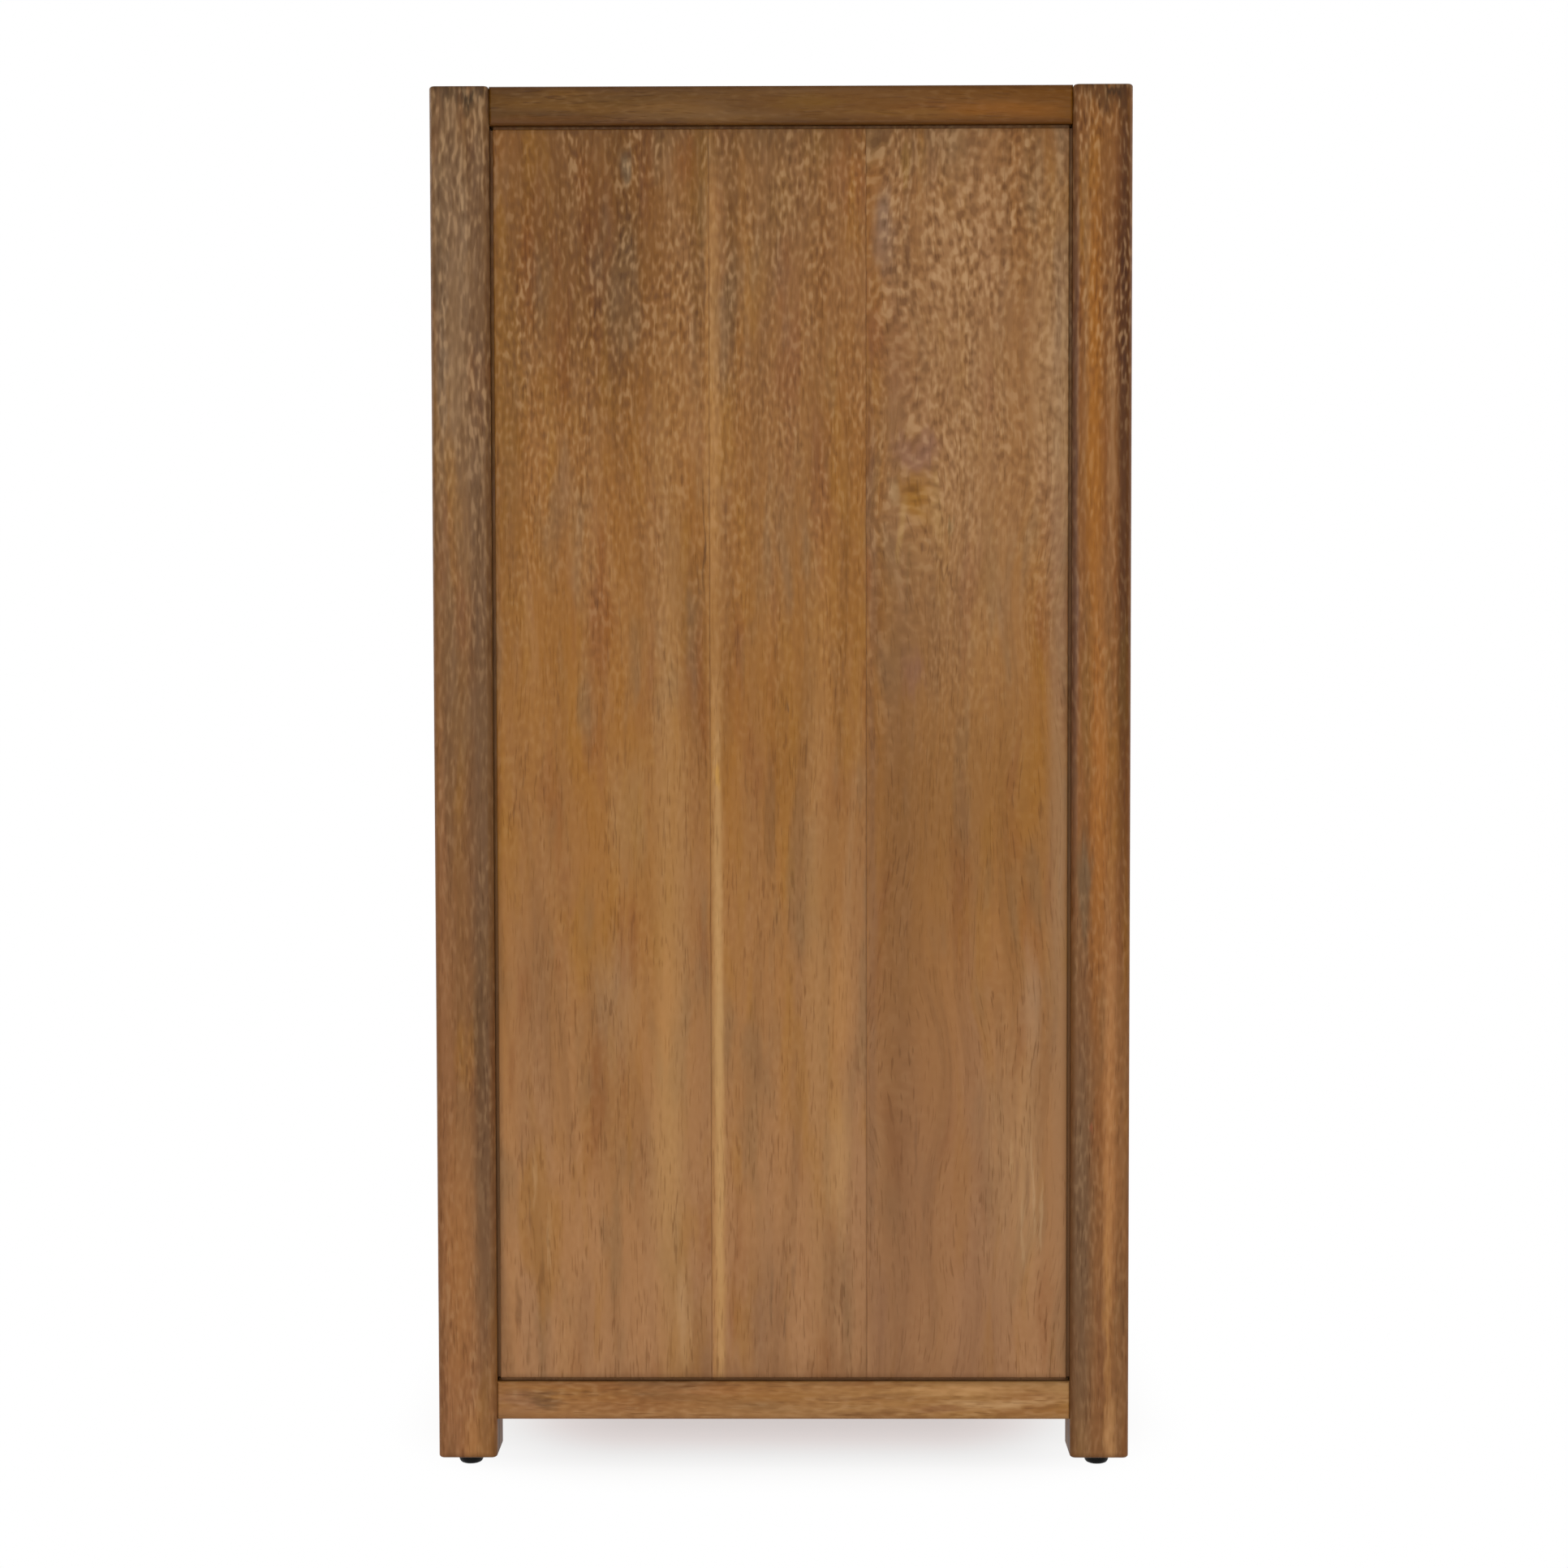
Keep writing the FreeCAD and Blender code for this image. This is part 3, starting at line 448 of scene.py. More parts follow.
    def bend_grain(self):
        """The grain sways across the board, and opens round a knot."""
        node = self.node
        swing = self.figure(self.own, self.SWAY, 0, 1.0)
        swung = node("Math", {0: swing, 1: self.sway}, operation="MULTIPLY")
        self.flow = node("VectorMath", {0: swung, 1: self.SWAY_WAY, 2: self.own}, operation="MULTIPLY_ADD")
        begins, full = self.MARK_RIM
        for across, along in self.cut.knots:
            out = mark_distance(node, self.straight, Mark(across, along, *self.KNOT_HALF, "", 0))
            near = node("MapRange", {
                "Value": out, "From Min": begins, "From Max": full, "To Max": self.KNOT_SWELL,
            }, interpolation_type="SMOOTHSTEP")
            pull = node("VectorMath", {0: near, 1: self.KNOT_PULL}, operation="MULTIPLY")
            knot = (across * MM, 0, along * MM)
            away = node("VectorMath", {0: self.straight, 1: knot}, operation="SUBTRACT")
            self.flow = node("VectorMath", {0: away, 1: pull, 2: self.flow}, operation="MULTIPLY_ADD")

    def ground(self):
        """Ground colour from one end to the other, moved up and down by broad bands."""
        node, colours = self.node, self.colours
        self.broad = self.figure(self.own, self.BROAD, 5, 1.0)
        moved = node("Math", {0: self.broad, 1: self.DRIFT, 2: self.height}, operation="MULTIPLY_ADD")
        centred = node("Math", {0: moved, 1: self.DRIFT / 2}, operation="SUBTRACT", use_clamp=True)
        self.tint = node("ValToRGB", {"Fac": centred})
        elements = self.tint.color_ramp.elements
        elements.new(0.5)
        stops = [linear(stop) for stop in self.cut.stops] or (colours.low, colours.middle, colours.high)
        for element, stop in zip(elements, stops):
            element.color = stop

    def rings(self):
        """Growth rings: noise over the distance from a pith line that leans a little through the board, so
        they run straight along its face or close in arches, and show as rings on its ends."""
        node, cut, grain, colours = self.node, self.cut, self.grain, self.colours
        middle = (self.low + self.high)["XYZ".index(cut.axes[0])] / 2
        turned = node("Mapping", {
            "Vector": self.flow,
            "Location": (-middle - cut.pith[0] * MM, -cut.pith[1] * MM, 0),
            "Rotation": (cut.lean, cut.lean * 0.4, 0),
        })
        flat = node("VectorMath", {0: turned, 1: (1, 1, 0)}, operation="MULTIPLY")
        radius = node("VectorMath", {0: flat}, operation="LENGTH").outputs["Value"]
        ring_place = node("CombineXYZ", {0: radius, 2: self.along})
        ring = figure(node, ring_place, (grain.band_width, 1, grain.band_length), cut.seed + 3, 3.0)
        # Colour, noise, the levels where the colour begins and is full, and its share of the bands' strength
        for tint, noise, begins, full, part in (
            (colours.dark, self.broad, 0.52, 0.28, 0.6),
            (colours.light, self.broad, 0.52, 0.74, 0.5),
            (colours.dark, ring, 0.50, 0.30, 1),
            (colours.light, ring, 0.54, 0.74, 0.7),
        ):
            self.lay(tint, noise, begins, full, cut.bands * part)

    def patches(self):
        """Patches of uneven stain, where it has run red, gold or grey."""
        node, colours = self.node, self.colours
        stained = node("SeparateColor", {0: self.figure(self.flow, self.PATCH, 7, 2.0).outputs["Color"]})
        first, last = self.cut.patches
        most = node("MapRange", {"Value": self.height, "To Min": first, "To Max": last})
        for channel, patch in zip(stained.outputs, (colours.russet, colours.honey, colours.mauve)):
            self.lay(patch, channel, *self.PATCH_LEVELS, most)

    def marks(self):
        """Marks at set places, with ragged rims. Those that run along much of the board are calmer."""
        node = self.node
        self.worn = self.figure(self.flow, self.WORN, 9, 2.0)
        torn = node("VectorMath", {0: self.worn.outputs["Color"], 1: self.RAGGED, 2: self.straight},
                    operation="MULTIPLY_ADD")
        ragged = node("VectorMath", {0: torn, 1: self.RAGGED / 2}, operation="SUBTRACT")
        calm = node("VectorMath", {0: self.worn, 1: self.CALM, 2: self.straight}, operation="MULTIPLY_ADD")
        for row in self.cut.marks:
            mark = Mark(*row)
            place = calm if mark.half_length > self.LONG_MARK else ragged
            self.lay(linear(mark.stain), mark_distance(node, place, mark), *self.MARK_RIM, mark.strength)

    def flecks(self):
        """Short pale and dark flecks, crowded here and there, faint at the first end, and open pores. The
        pale ones are partly the wood's figure and partly a painted glint of the lacquer, stronger towards the
        last end.

        A board with rounder flecks has them wider and shorter by the root of its roundness, and fainter at
        its first end.
        """
        node, grain, cut = self.node, self.grain, self.cut
        shorter = node("Math", {0: self.roundness, 1: 0.5}, operation="POWER")
        wider = node("Math", {0: self.roundness, 1: -0.5}, operation="POWER")
        rounder = node("CombineXYZ", {0: wider, 1: wider, 2: shorter})
        fleck_place = node("VectorMath", {0: self.flow, 1: rounder}, operation="MULTIPLY")
        size = (grain.fleck_width, 2 * grain.fleck_width, grain.fleck_length)
        self.fleck = figure(node, fleck_place, size, cut.seed + 11, 0.5)
        first = node("Math", {0: cut.flecks[0], 1: self.roundness}, operation="DIVIDE")
        last = node("Math", {0: cut.flecks[1], 1: self.liveliness}, operation="MULTIPLY")
        begins, full = self.FLECK_HEIGHTS
        strength = node("MapRange", {
            "Value": self.height, "From Min": begins, "From Max": full, "To Min": first, "To Max": last,
        }, interpolation_type="SMOOTHSTEP")
        crowd = node("MapRange", {"Value": self.figure(self.own, self.CROWD, 15, 1.0), **self.CROWDING})
        strength = node("Math", {0: strength, 1: crowd}, operation="MULTIPLY")
        light = node("Math", {0: strength, 1: self.FLECK_LIGHT}, operation="MULTIPLY")
        pale_sheen = node("Math", {0: strength, 1: self.PALE_FLECK_SHEEN}, operation="MULTIPLY")
        # The two pale layers are partly painted glint of the lacquer
        # Colour, the levels where it begins and is full, its share, and how it is laid
        for tint, begins, full, most, mode in (
            (self.PALE_FLECK_GLINT, 0.46, 0.73, light, "DODGE"),
            (self.colours.light, 0.50, 0.74, pale_sheen, "MIX"),
            (self.DARK, 0.50, 0.27, light, "MULTIPLY"),
        ):
            self.lay(tint, self.fleck, begins, full, most, mode)
        size = (grain.pore_width, 2 * grain.pore_width, grain.pore_length)
        self.pore = figure(node, self.flow, size, cut.seed + 13, 1.0)
        first, last = self.PORES
        opened = node("MapRange", {"Value": self.height, "To Min": first, "To Max": last})
        opened = node("Math", {0: opened, 1: crowd}, operation="MULTIPLY")
        self.lay(self.PORE, self.pore, *self.PORE_LEVELS, opened, "MULTIPLY")

    def joints(self):
        """Glue lines are a hair darker, and the faces in a joint's groove or reveal are darkened as painted
        shade.
        """
        node, cut = self.node, self.cut
        for seam in cut.seams:
            glue = node("Math", {0: self.across, 1: seam * MM, 2: self.GLUE_WIDTH * MM}, operation="COMPARE")
            self.lay(self.DARK, glue, 0, 1, self.GLUE_SHARE, "MULTIPLY")
        in_joint_shade = 1.0
        for name, level, reach in cut.shaded_groove:
            away = node("Math", {0: self.parts[name]}, operation="ABSOLUTE")
            inside = node("Math", {0: away, 1: level * MM, 2: reach * MM}, operation="COMPARE")
            in_joint_shade = node("Math", {0: inside, 1: in_joint_shade}, operation="MULTIPLY")
        # Painted shade on the faces inside a groove or reveal
        if cut.shaded_groove:
            self.lay(linear(self.JOINT_SHADE), in_joint_shade, 0, 1, self.JOINT_SHADE_SHARE)

    def ends_and_edges(self):
        """End grain takes more stain, and the edges darken from gathered stain and from painted shade on
        their rounding.
        """
        node, cut = self.node, self.cut
        along = [float(name == cut.axes[2]) for name in "XYZ"]
        facing = node("VectorMath", {0: self.normal, 1: along}, operation="DOT_PRODUCT").outputs["Value"]
        self.lay(self.colours.dark, node("Math", {0: facing}, operation="ABSOLUTE"), *self.END_GRAIN)
        trim = np.array([cut.trim[cut.axes.index(name)] * MM for name in "XYZ"])
        edge = edge_distance(node, self.place, self.low + trim, self.high - trim)
        # Darker edges: gathered stain and painted shade
        self.lay(self.colours.dark, edge, self.grain.edge_width, 0, cut.edges)

    def lacquer(self):
        """Satin lacquer that follows the open grain: it sinks into the pores and swells over the flecks."""
        node = self.node
        begins, full = self.PIT_LEVELS
        pit = node("MapRange", {
            "Value": self.pore, "From Min": begins, "From Max": full, "To Max": -self.PIT_DEPTH})
        raised = node("Math", {0: self.fleck, 1: self.FLECK_RISE, 2: pit}, operation="MULTIPLY_ADD")
        polished, worn = self.SATIN
        gloss = node("MapRange", {"Value": self.worn, **NOISE_SPAN, "To Min": polished, "To Max": worn})
        node("OutputMaterial", {"Surface": node("BsdfPrincipled", {
            "Base Color": self.tint,
            "Roughness": gloss,
            "Normal": node("Bump", {
                "Height": raised, "Distance": self.grain.relief, "Strength": self.RELIEF_SHARE}),
            "Specular IOR Level": self.SHINE,
        })})


def show(piece, material):
    """Gives a node of the frame its material."""
    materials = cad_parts[piece].data.materials
    materials.clear()
    materials.append(material)


def stray_marks(piece, axes, colours, seed, count):
    """Patches of uneven stain at seeded places on a board's face, long along the grain."""
    half_widths, half_lengths, strengths, leans = (5, 12), (25, 85), (0.2, 0.45), (-6, 6)
    chance = random.Random(seed)
    low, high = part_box(piece)
    across, along = ("XYZ".index(axes[k]) for k in (0, 2))
    return [(
        chance.uniform(low[across], high[across]) / MM,
        chance.uniform(low[along], high[along]) / MM,
        chance.uniform(*half_widths),
        chance.uniform(*half_lengths),
        chance.choice(colours),
        chance.uniform(*strengths),
        chance.uniform(*leans),
    ) for _ in range(count)]


def zinc_steel(name, along):
    """Zinc-plated rolled steel: a cool bright grey with fine lines along the strip and dull clouds."""
    # Rolling lines are about 0.1 mm apart, and are drawn at 0.6 mm so that they show
    line_width, line_length, cloud_width = 0.6 * MM, 80 * MM, 30 * MM
    # Levels of the noise where dull clouds and lines begin and are full, and their share
    dull, lined = (0.35, 0.7, 1.0), (0.55, 0.75, 0.25)
    fittings = bpy.context.scene.dresser.fittings
    material, node = new_material(name)
    place = node("TexCoord", {}).outputs["Object"]
    line = figure(node, place, [line_length if axis == along else line_width for axis in "XYZ"], 2.0)
    cloud = figure(node, place, [cloud_width] * 3, 5.0)
    tint = lay(node, fittings.zinc, fittings.zinc_dull, cloud, *dull)
    tint = lay(node, tint, fittings.zinc_line, line, *lined)
    node("OutputMaterial", {"Surface": node("BsdfPrincipled", {
        "Base Color": tint,
        "Roughness": node("MapRange", {"Value": line, **NOISE_SPAN, "To Min": 0.24, "To Max": 0.40}),
        "Normal": node("Bump", {"Height": line, "Distance": 0.02 * MM, "Strength": 0.5}),
        "Metallic": 1.0,
    })})
    return material


def black_polyethylene():
    """Moulded black polyethylene: almost black, with a faint grey bloom and a fine grain from the mould."""
    grit_width, scuff_size = 0.4 * MM, (4 * MM, 4 * MM, 1.5 * MM)
    fittings = bpy.context.scene.dresser.fittings
    material, node = new_material("moulded_black_polyethylene")
    place = node("TexCoord", {}).outputs["Object"]
    grit = figure(node, place, [grit_width] * 3, 1.0)
    scuff = figure(node, place, scuff_size, 4.0)
    node("OutputMaterial", {"Surface": node("BsdfPrincipled", {
        "Base Color": lay(node, fittings.plastic, fittings.plastic_bloom, scuff, 0.5, 0.75, 0.4),
        "Roughness": node("MapRange", {"Value": scuff, **NOISE_SPAN, "To Min": 0.38, "To Max": 0.55}),
        "Normal": node("Bump", {"Height": grit, "Distance": 0.03 * MM, "Strength": 0.6}),
        "IOR": 1.51,
        "Specular IOR Level": 0.1,
    })})
    return material


# Surfaces

def corners(piece):
    """Vertices of a node of the frame, as an array of points."""
    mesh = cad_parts[piece].data
    points = np.empty(len(mesh.vertices) * 3, np.float32)
    mesh.vertices.foreach_get("co", points)
    return points.reshape(-1, 3).astype(float)


def solids(piece, gap, axes="XYZ"):
    """Points of each solid of a node. Each of the axes is cut where its sorted values jump by more than the
    gap, and one solid lies in each cell that the cuts leave."""
    points = corners(piece)
    cells = []
    for values in (points[:, "XYZ".index(axis)] for axis in axes):
        ordered = np.sort(values)
        jumps = np.flatnonzero(np.diff(ordered) > gap)
        cells.append(np.searchsorted((ordered[jumps] + ordered[jumps + 1]) / 2, values))
    _, solid = np.unique(np.stack(cells, axis=1), axis=0, return_inverse=True)
    solid = solid.ravel()
    return [points[solid == k] for k in range(solid.max() + 1)]


def full_turn(steps):
    """Angles of a full turn in even steps."""
    return np.linspace(0, 2 * np.pi, steps, endpoint=False)


def tube(rings):
    """Points and faces of rings of points, given as an array of rows by columns by 3: quads between each ring
    and the next, and one polygon over the first and one over the last ring."""
    rows, columns = rings.shape[:2]
    index = np.arange(rows * columns).reshape(rows, columns)
    after = np.roll(index, -1, axis=1)
    quads = np.stack([index[:-1], after[:-1], after[1:], index[1:]], axis=-1).reshape(-1, 4)
    return rings.reshape(-1, 3), [*quads.tolist(), index[0, ::-1].tolist(), index[-1].tolist()]


def add_piece(name, shells, material, body, replaced):
    """Puts shells, each some points and faces, into one mesh that rides on a body and stands for nodes."""
    crease = math.radians(38)
    points, faces, start = [], [], 0
    for shell_points, shell_faces in shells:
        points.append(shell_points)
        faces += [[corner + start for corner in face] for face in shell_faces]
        start += len(shell_points)
    mesh = bpy.data.meshes.new(name)
    mesh.from_pydata(np.concatenate(points).tolist(), [], faces)
    work = bmesh.new()
    work.from_mesh(mesh)
    bmesh.ops.recalc_face_normals(work, faces=work.faces)
    work.to_mesh(mesh)
    work.free()
    mesh.shade_smooth()
    mesh.set_sharp_from_angle(angle=crease)
    mesh.materials.append(material)
    piece = bpy.data.objects.new(name, mesh)
    bpy.context.scene.collection.objects.link(piece)
    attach(piece, body)
    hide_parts(*replaced)


def glide_shell(points):
    """A bowl turned about the upright axis of a plain glide.

    Its radius is the rim's at the top, and below a thin lip it draws in to the flat that stands on the floor
    by the root of one less a power of the depth, which gives a full, rounded bowl.
    """
    # Shares of the rim's radius and of the glide's height
    lip_radius, lip_fall = [0.94, 1.0, 1.0], [0, 0.03, 0.14]
    bowl_radius, bowl_fall = 0.985, 0.16
    flat, sole = 0.70, 0.56
    rows, sides, fullness, roundness = 15, 48, 2.6, 1.9
    low, high = points.min(0), points.max(0)
    centre, rim, tall = (low + high) / 2, (high - low)[0] / 2, (high - low)[2]
    depth = np.linspace(0, 1, rows)
    bowl = flat + (1 - flat) * (1 - depth ** fullness) ** (1 / roundness)
    radius = np.concatenate([lip_radius, bowl * bowl_radius, [sole]])[:, None] * rim
    fall = np.concatenate([lip_fall, bowl_fall + (1 - bowl_fall) * depth, [1.0]])[:, None] * tall
    angle = full_turn(sides)
    return tube(np.stack([
        centre[0] + radius * np.cos(angle),
        centre[1] + radius * np.sin(angle),
        high[2] - fall * np.ones_like(angle),
    ], axis=-1))


def screw_shell(points, fittings):
    """A pan-head wood screw in the place of a plain one.

    The rings run from the middle of the head outwards, down its rim, in under it and along the shank. The
    head is the square root of one less the fourth power of the radius high, less the cross recess: a smooth
    trough along each of two lines. The shank's radius swings with the height less the turn, which gives the
    thread.
    """
    sides, head_rows, rows_per_turn = 24, 12, 5
    seat_slack, arm_slope, arm_end_slope = 0.05 * MM, 0.25 * MM, 0.5 * MM
    shank_share, recess_depth, tip_length, tip_width = 0.5, 0.65, 2.2, 0.06
    rim = np.array([[1.0, 0.16], [1.0, 0.03], [0.97, 0.0]])
    axis = int(np.argmax(np.ptp(points, axis=0)))
    others = [k for k in range(3) if k != axis]
    centre = (points.min(0) + points.max(0)) / 2
    off = np.linalg.norm((points - centre)[:, others], axis=1)
    seat = points[off > off.max() - seat_slack, axis].mean()
    ends = points[:, axis].min(), points[:, axis].max()
    tip = max(ends, key=lambda end: abs(end - seat))
    top = min(ends, key=lambda end: abs(end - seat))
    head, tall, reach = off.max(), abs(top - seat), abs(tip - seat)
    shank = shank_share * head
    angle = full_turn(sides)

    radius = np.linspace(0.03, 0.97, head_rows)[:, None] * head
    flat = np.stack([radius * np.cos(angle), radius * np.sin(angle)])
    arms = [np.clip((fittings.recess_width / 2 - abs(flat[k])) / arm_slope + 0.5, 0, 1)
            * np.clip((fittings.recess_reach - abs(flat[1 - k])) / arm_end_slope + 0.5, 0, 1) for k in (0, 1)]
    dome = tall * np.sqrt(1 - (radius / head) ** 4) - recess_depth * tall * np.maximum(*arms)
    rows = int(reach / fittings.thread_pitch * rows_per_turn)
    sunk = np.linspace(0, 1, rows)[:, None]
    turn = sunk * reach / fittings.thread_pitch - angle / (2 * np.pi)
    taper = np.clip((1 - sunk) * reach / (tip_length * shank), tip_width, 1)
    crest = abs(2 * (turn - np.floor(turn)) - 1)
    thread = shank * taper - fittings.thread_depth * crest * taper
    level = np.ones_like(angle)
    out = np.concatenate([radius * level, rim[:, :1] * head * level, thread])
    up = np.concatenate([dome, rim[:, 1:] * tall * level, -sunk * reach * level])
    rings = np.empty((*out.shape, 3))
    rings[..., axis] = seat + np.sign(top - seat) * up
    rings[..., others[0]] = centre[others[0]] + out * np.cos(angle)
    rings[..., others[1]] = centre[others[1]] + out * np.sin(angle)
    return tube(rings)


def slide_shell(points, web_outside, fittings):
    """A rolled steel channel carried along Y in the place of a plain one.

    Its outline goes round the outside of the web and both flanges, round each flange's rolled lip and back
    inside: quarter circles of the bend radius at the outer corners, and of that radius less the wall at the
    inner ones. Two beads run along the web, each a bell curve across it. The cut ends are broken by a hair,
    so the wall of each end ring is a little thinner from both sides.
    """
    bend_steps, web_steps = 7, 47
    end_run, end_break = 0.4 * MM, 0.15 * MM
    low, high = points.min(0), points.max(0)
    outside = 1 if low[0] + high[0] > 0 else -1
    web_side = outside if web_outside else -outside
    web = high[0] if web_side > 0 else low[0]
    deep, half, level = high[0] - low[0], (high[2] - low[2]) / 2, (low[2] + high[2]) / 2
    wall, bend = fittings.steel_thick, fittings.bend_radius
    quarter = np.linspace(0, np.pi / 2, bend_steps)
    outer, inner = (
        np.stack([bend - size * np.sin(quarter), half - bend + size * np.cos(quarter)], axis=1)
        for size in (bend, bend - wall))
    lip = np.linspace(-np.pi / 2, np.pi / 2, bend_steps)
    rolled = np.stack([np.cos(lip), np.sin(lip)], axis=1) * wall / 2 + (deep - wall / 2, half - wall / 2)
    upper = np.concatenate([rolled, outer])
    rise = np.linspace(half - bend, bend - half, web_steps)[1:-1]
    bead = fittings.bead_height * np.exp(-((abs(rise) - half / 2) / (fittings.bead_width / 2)) ** 2)
    web_line = np.stack([bead, rise], axis=1)
    outline = np.concatenate([
        upper, web_line, upper[::-1] * (1, -1), inner * (1, -1), web_line[::-1] + (wall, 0), inner[::-1]])
    along = np.roll(outline, -1, axis=0) - np.roll(outline, 1, axis=0)
    inward = np.stack([-along[:, 1], along[:, 0]], axis=1) / np.linalg.norm(along, axis=1)[:, None]
    broken = outline + inward * end_break
    sections = np.stack([broken, outline, outline, broken])
    run = np.array([low[1], low[1] + end_run, high[1] - end_run, high[1]])
    return tube(np.stack([
        web - web_side * sections[..., 0],
        np.broadcast_to(run[:, None], sections.shape[:2]),
        level + sections[..., 1],
    ], axis=-1))


# Operators

class DRESSER_OT_frame_timber(bpy.types.Operator):
    """Stained acacia of the legs, the rails and the drawer dividers"""

    bl_idname = "dresser.frame_timber"
    bl_label = "Legs and rails"

    STRAYS = ("#6E4522", "#8A4F20", "#83694C", "#9C6C2C", "#A87B4E")
    # Where the tenons, and the reveal beside the panels, hide a face, which is darkened there as painted
    # shade
    END_JOINT_SHADE = ("X", 444.75, 7.25)
    LEG_JOINT_SHADE = (END_JOINT_SHADE, ("Y", 211, 0.9))
    # Rows of Mark after the near end's own patches. Most are tone in the wood; the rows noted below are
    # painted shade and sheen on the rounded edges
    FRONT_LEG_MARKS = (
        (-217, 560, 14, 560, "#664A30", 0.62), (-217, 230, 11, 300, "#5C4630", 0.55),
        (-246, 420, 12, 320, "#94643C", 0.5), (-238, 150, 16, 140, "#A06A38", 0.6),
        (-222, 330, 6, 100, "#5F4124", 0.55), (-246, 820, 6, 140, "#7C6650", 0.45),
        (-230, 900, 6, 120, "#8A6E50", 0.45), (-243, 520, 6, 180, "#6A4A2A", 0.5),
        (-229, 640, 4, 130, "#8A643B", 0.45), (-250, 60, 4, 60, "#6E4424", 0.5),
        (-247, 880, 6, 170, "#5A4126", 0.4), (-229, 22, 9, 34, "#B27E48", 0.5),
        # The last two rows on this line are painted shade at the foot's lower corners
        (-245, 16, 5, 26, "#6A4422", 0.45), (-212, 16, 5, 22, "#6A4422", 0.4),
        # Painted shade of the rounded top edge: the top of the leg darkened
        (-232, 1004, 34, 14, "#3E2A12", 0.55), (-232, 1011, 44, 7, "#33240E", 0.75),
    )
    BACK_LEG_MARKS = (
        # The first row is a painted greyish sheen on the rounded inner edge
        (214.5, 720, 4, 420, "#6E5344", 0.8), (221, 860, 4, 200, "#94704A", 0.5),
        (228.5, 780, 9, 300, "#A0641E", 0.75), (244, 905, 9, 150, "#66360F", 0.5),
        (233, 520, 9, 230, "#A4682A", 0.75), (241, 270, 7, 260, "#B07A48", 0.75),
        # The second row is painted shade on the rounded outer edge
        (239, 800, 4, 200, "#A0784E", 0.5), (250.5, 800, 8, 600, "#4C2A0E", 0.9),
        (249, 590, 5, 60, "#6A4A1C", 0.5), (220, 430, 8, 70, "#6A563C", 0.7),
        (220, 190, 14, 300, "#6C543C", 0.75), (226, 250, 3, 10, "#9A5638", 0.6),
        (222, 560, 7, 110, "#86602F", 0.5), (234, 90, 8, 80, "#7C5030", 0.5),
        (238, 120, 3.5, 130, "#B8854C", 0.5), (249, 120, 3, 120, "#5A3A1E", 0.3),
        (240, 22, 5, 45, "#BC8C5A", 0.7), (221, 22, 6, 34, "#9A744C", 0.45),
        # Painted shade of the rounded top edge: the top of the leg darkened
        (232, 1004, 34, 14, "#42280E", 0.55), (232, 1011, 44, 7, "#33200A", 0.75),
    )
    BOTTOM_RAIL_MARKS = (
        (50, -176, 9, 16, "#604630", 0.6), (50, -195, 12, 22, "#946C50", 0.5),
        (46, -110, 6, 60, "#8C5A30", 0.5), (58, -60, 4, 60, "#A87446", 0.5),
        (41, 55, 3, 34, "#70451F", 0.6), (52, 60, 3, 70, "#7E5632", 0.45), (58, 120, 4, 70, "#C0925E", 0.6),
        (48, 150, 4, 60, "#C29A6A", 0.55), (44, 110, 3, 50, "#86583A", 0.5),
        (54, 195, 8, 18, "#B98C5C", 0.4),
    )
    TOP_RAIL_MARKS = (
        (1000, -120, 5, 90, "#5A3C10", 0.35), (990, 90, 5, 80, "#80581C", 0.35),
        (992, 160, 9, 60, "#8A5210", 0.5), (998, 20, 8, 40, "#74500E", 0.4),
        (996, -30, 9, 24, "#5C3A10", 0.35),
    )
    NEAR_LEGS = {
        "front_right_leg": dict(
            stops=("#966640", "#7A5228", "#745638"), flecks=(0.35, 0.95), pith=(26, -45),
            marks=FRONT_LEG_MARKS),
        "back_right_leg": dict(
            stops=("#8A5E37", "#845224", "#845628"), flecks=(0.35, 1.0), pith=(-24, -50),
            marks=BACK_LEG_MARKS),
    }
    NEAR_RAILS = {"right_bottom_rail": BOTTOM_RAIL_MARKS, "right_top_rail": TOP_RAIL_MARKS}
    TOP_RAIL = dict(
        stops=("#523202", "#5A3806", "#6A3F04"), flecks=(0.15, 0.15), patches=(0.2, 0.2), bands=0.1,
        edges=0.6, shaded_groove=(END_JOINT_SHADE, ("Z", 982, 1.2)))
    LOWER_RAIL = dict(
        stops=("#9C6C3E", "#9C6C3A", "#AC8049"), flecks=(0.5, 0.5), patches=(0.45, 0.45), bands=0.5,
        edges=0.25, shaded_groove=(END_JOINT_SHADE, ("Z", 64.5, 1.2)))

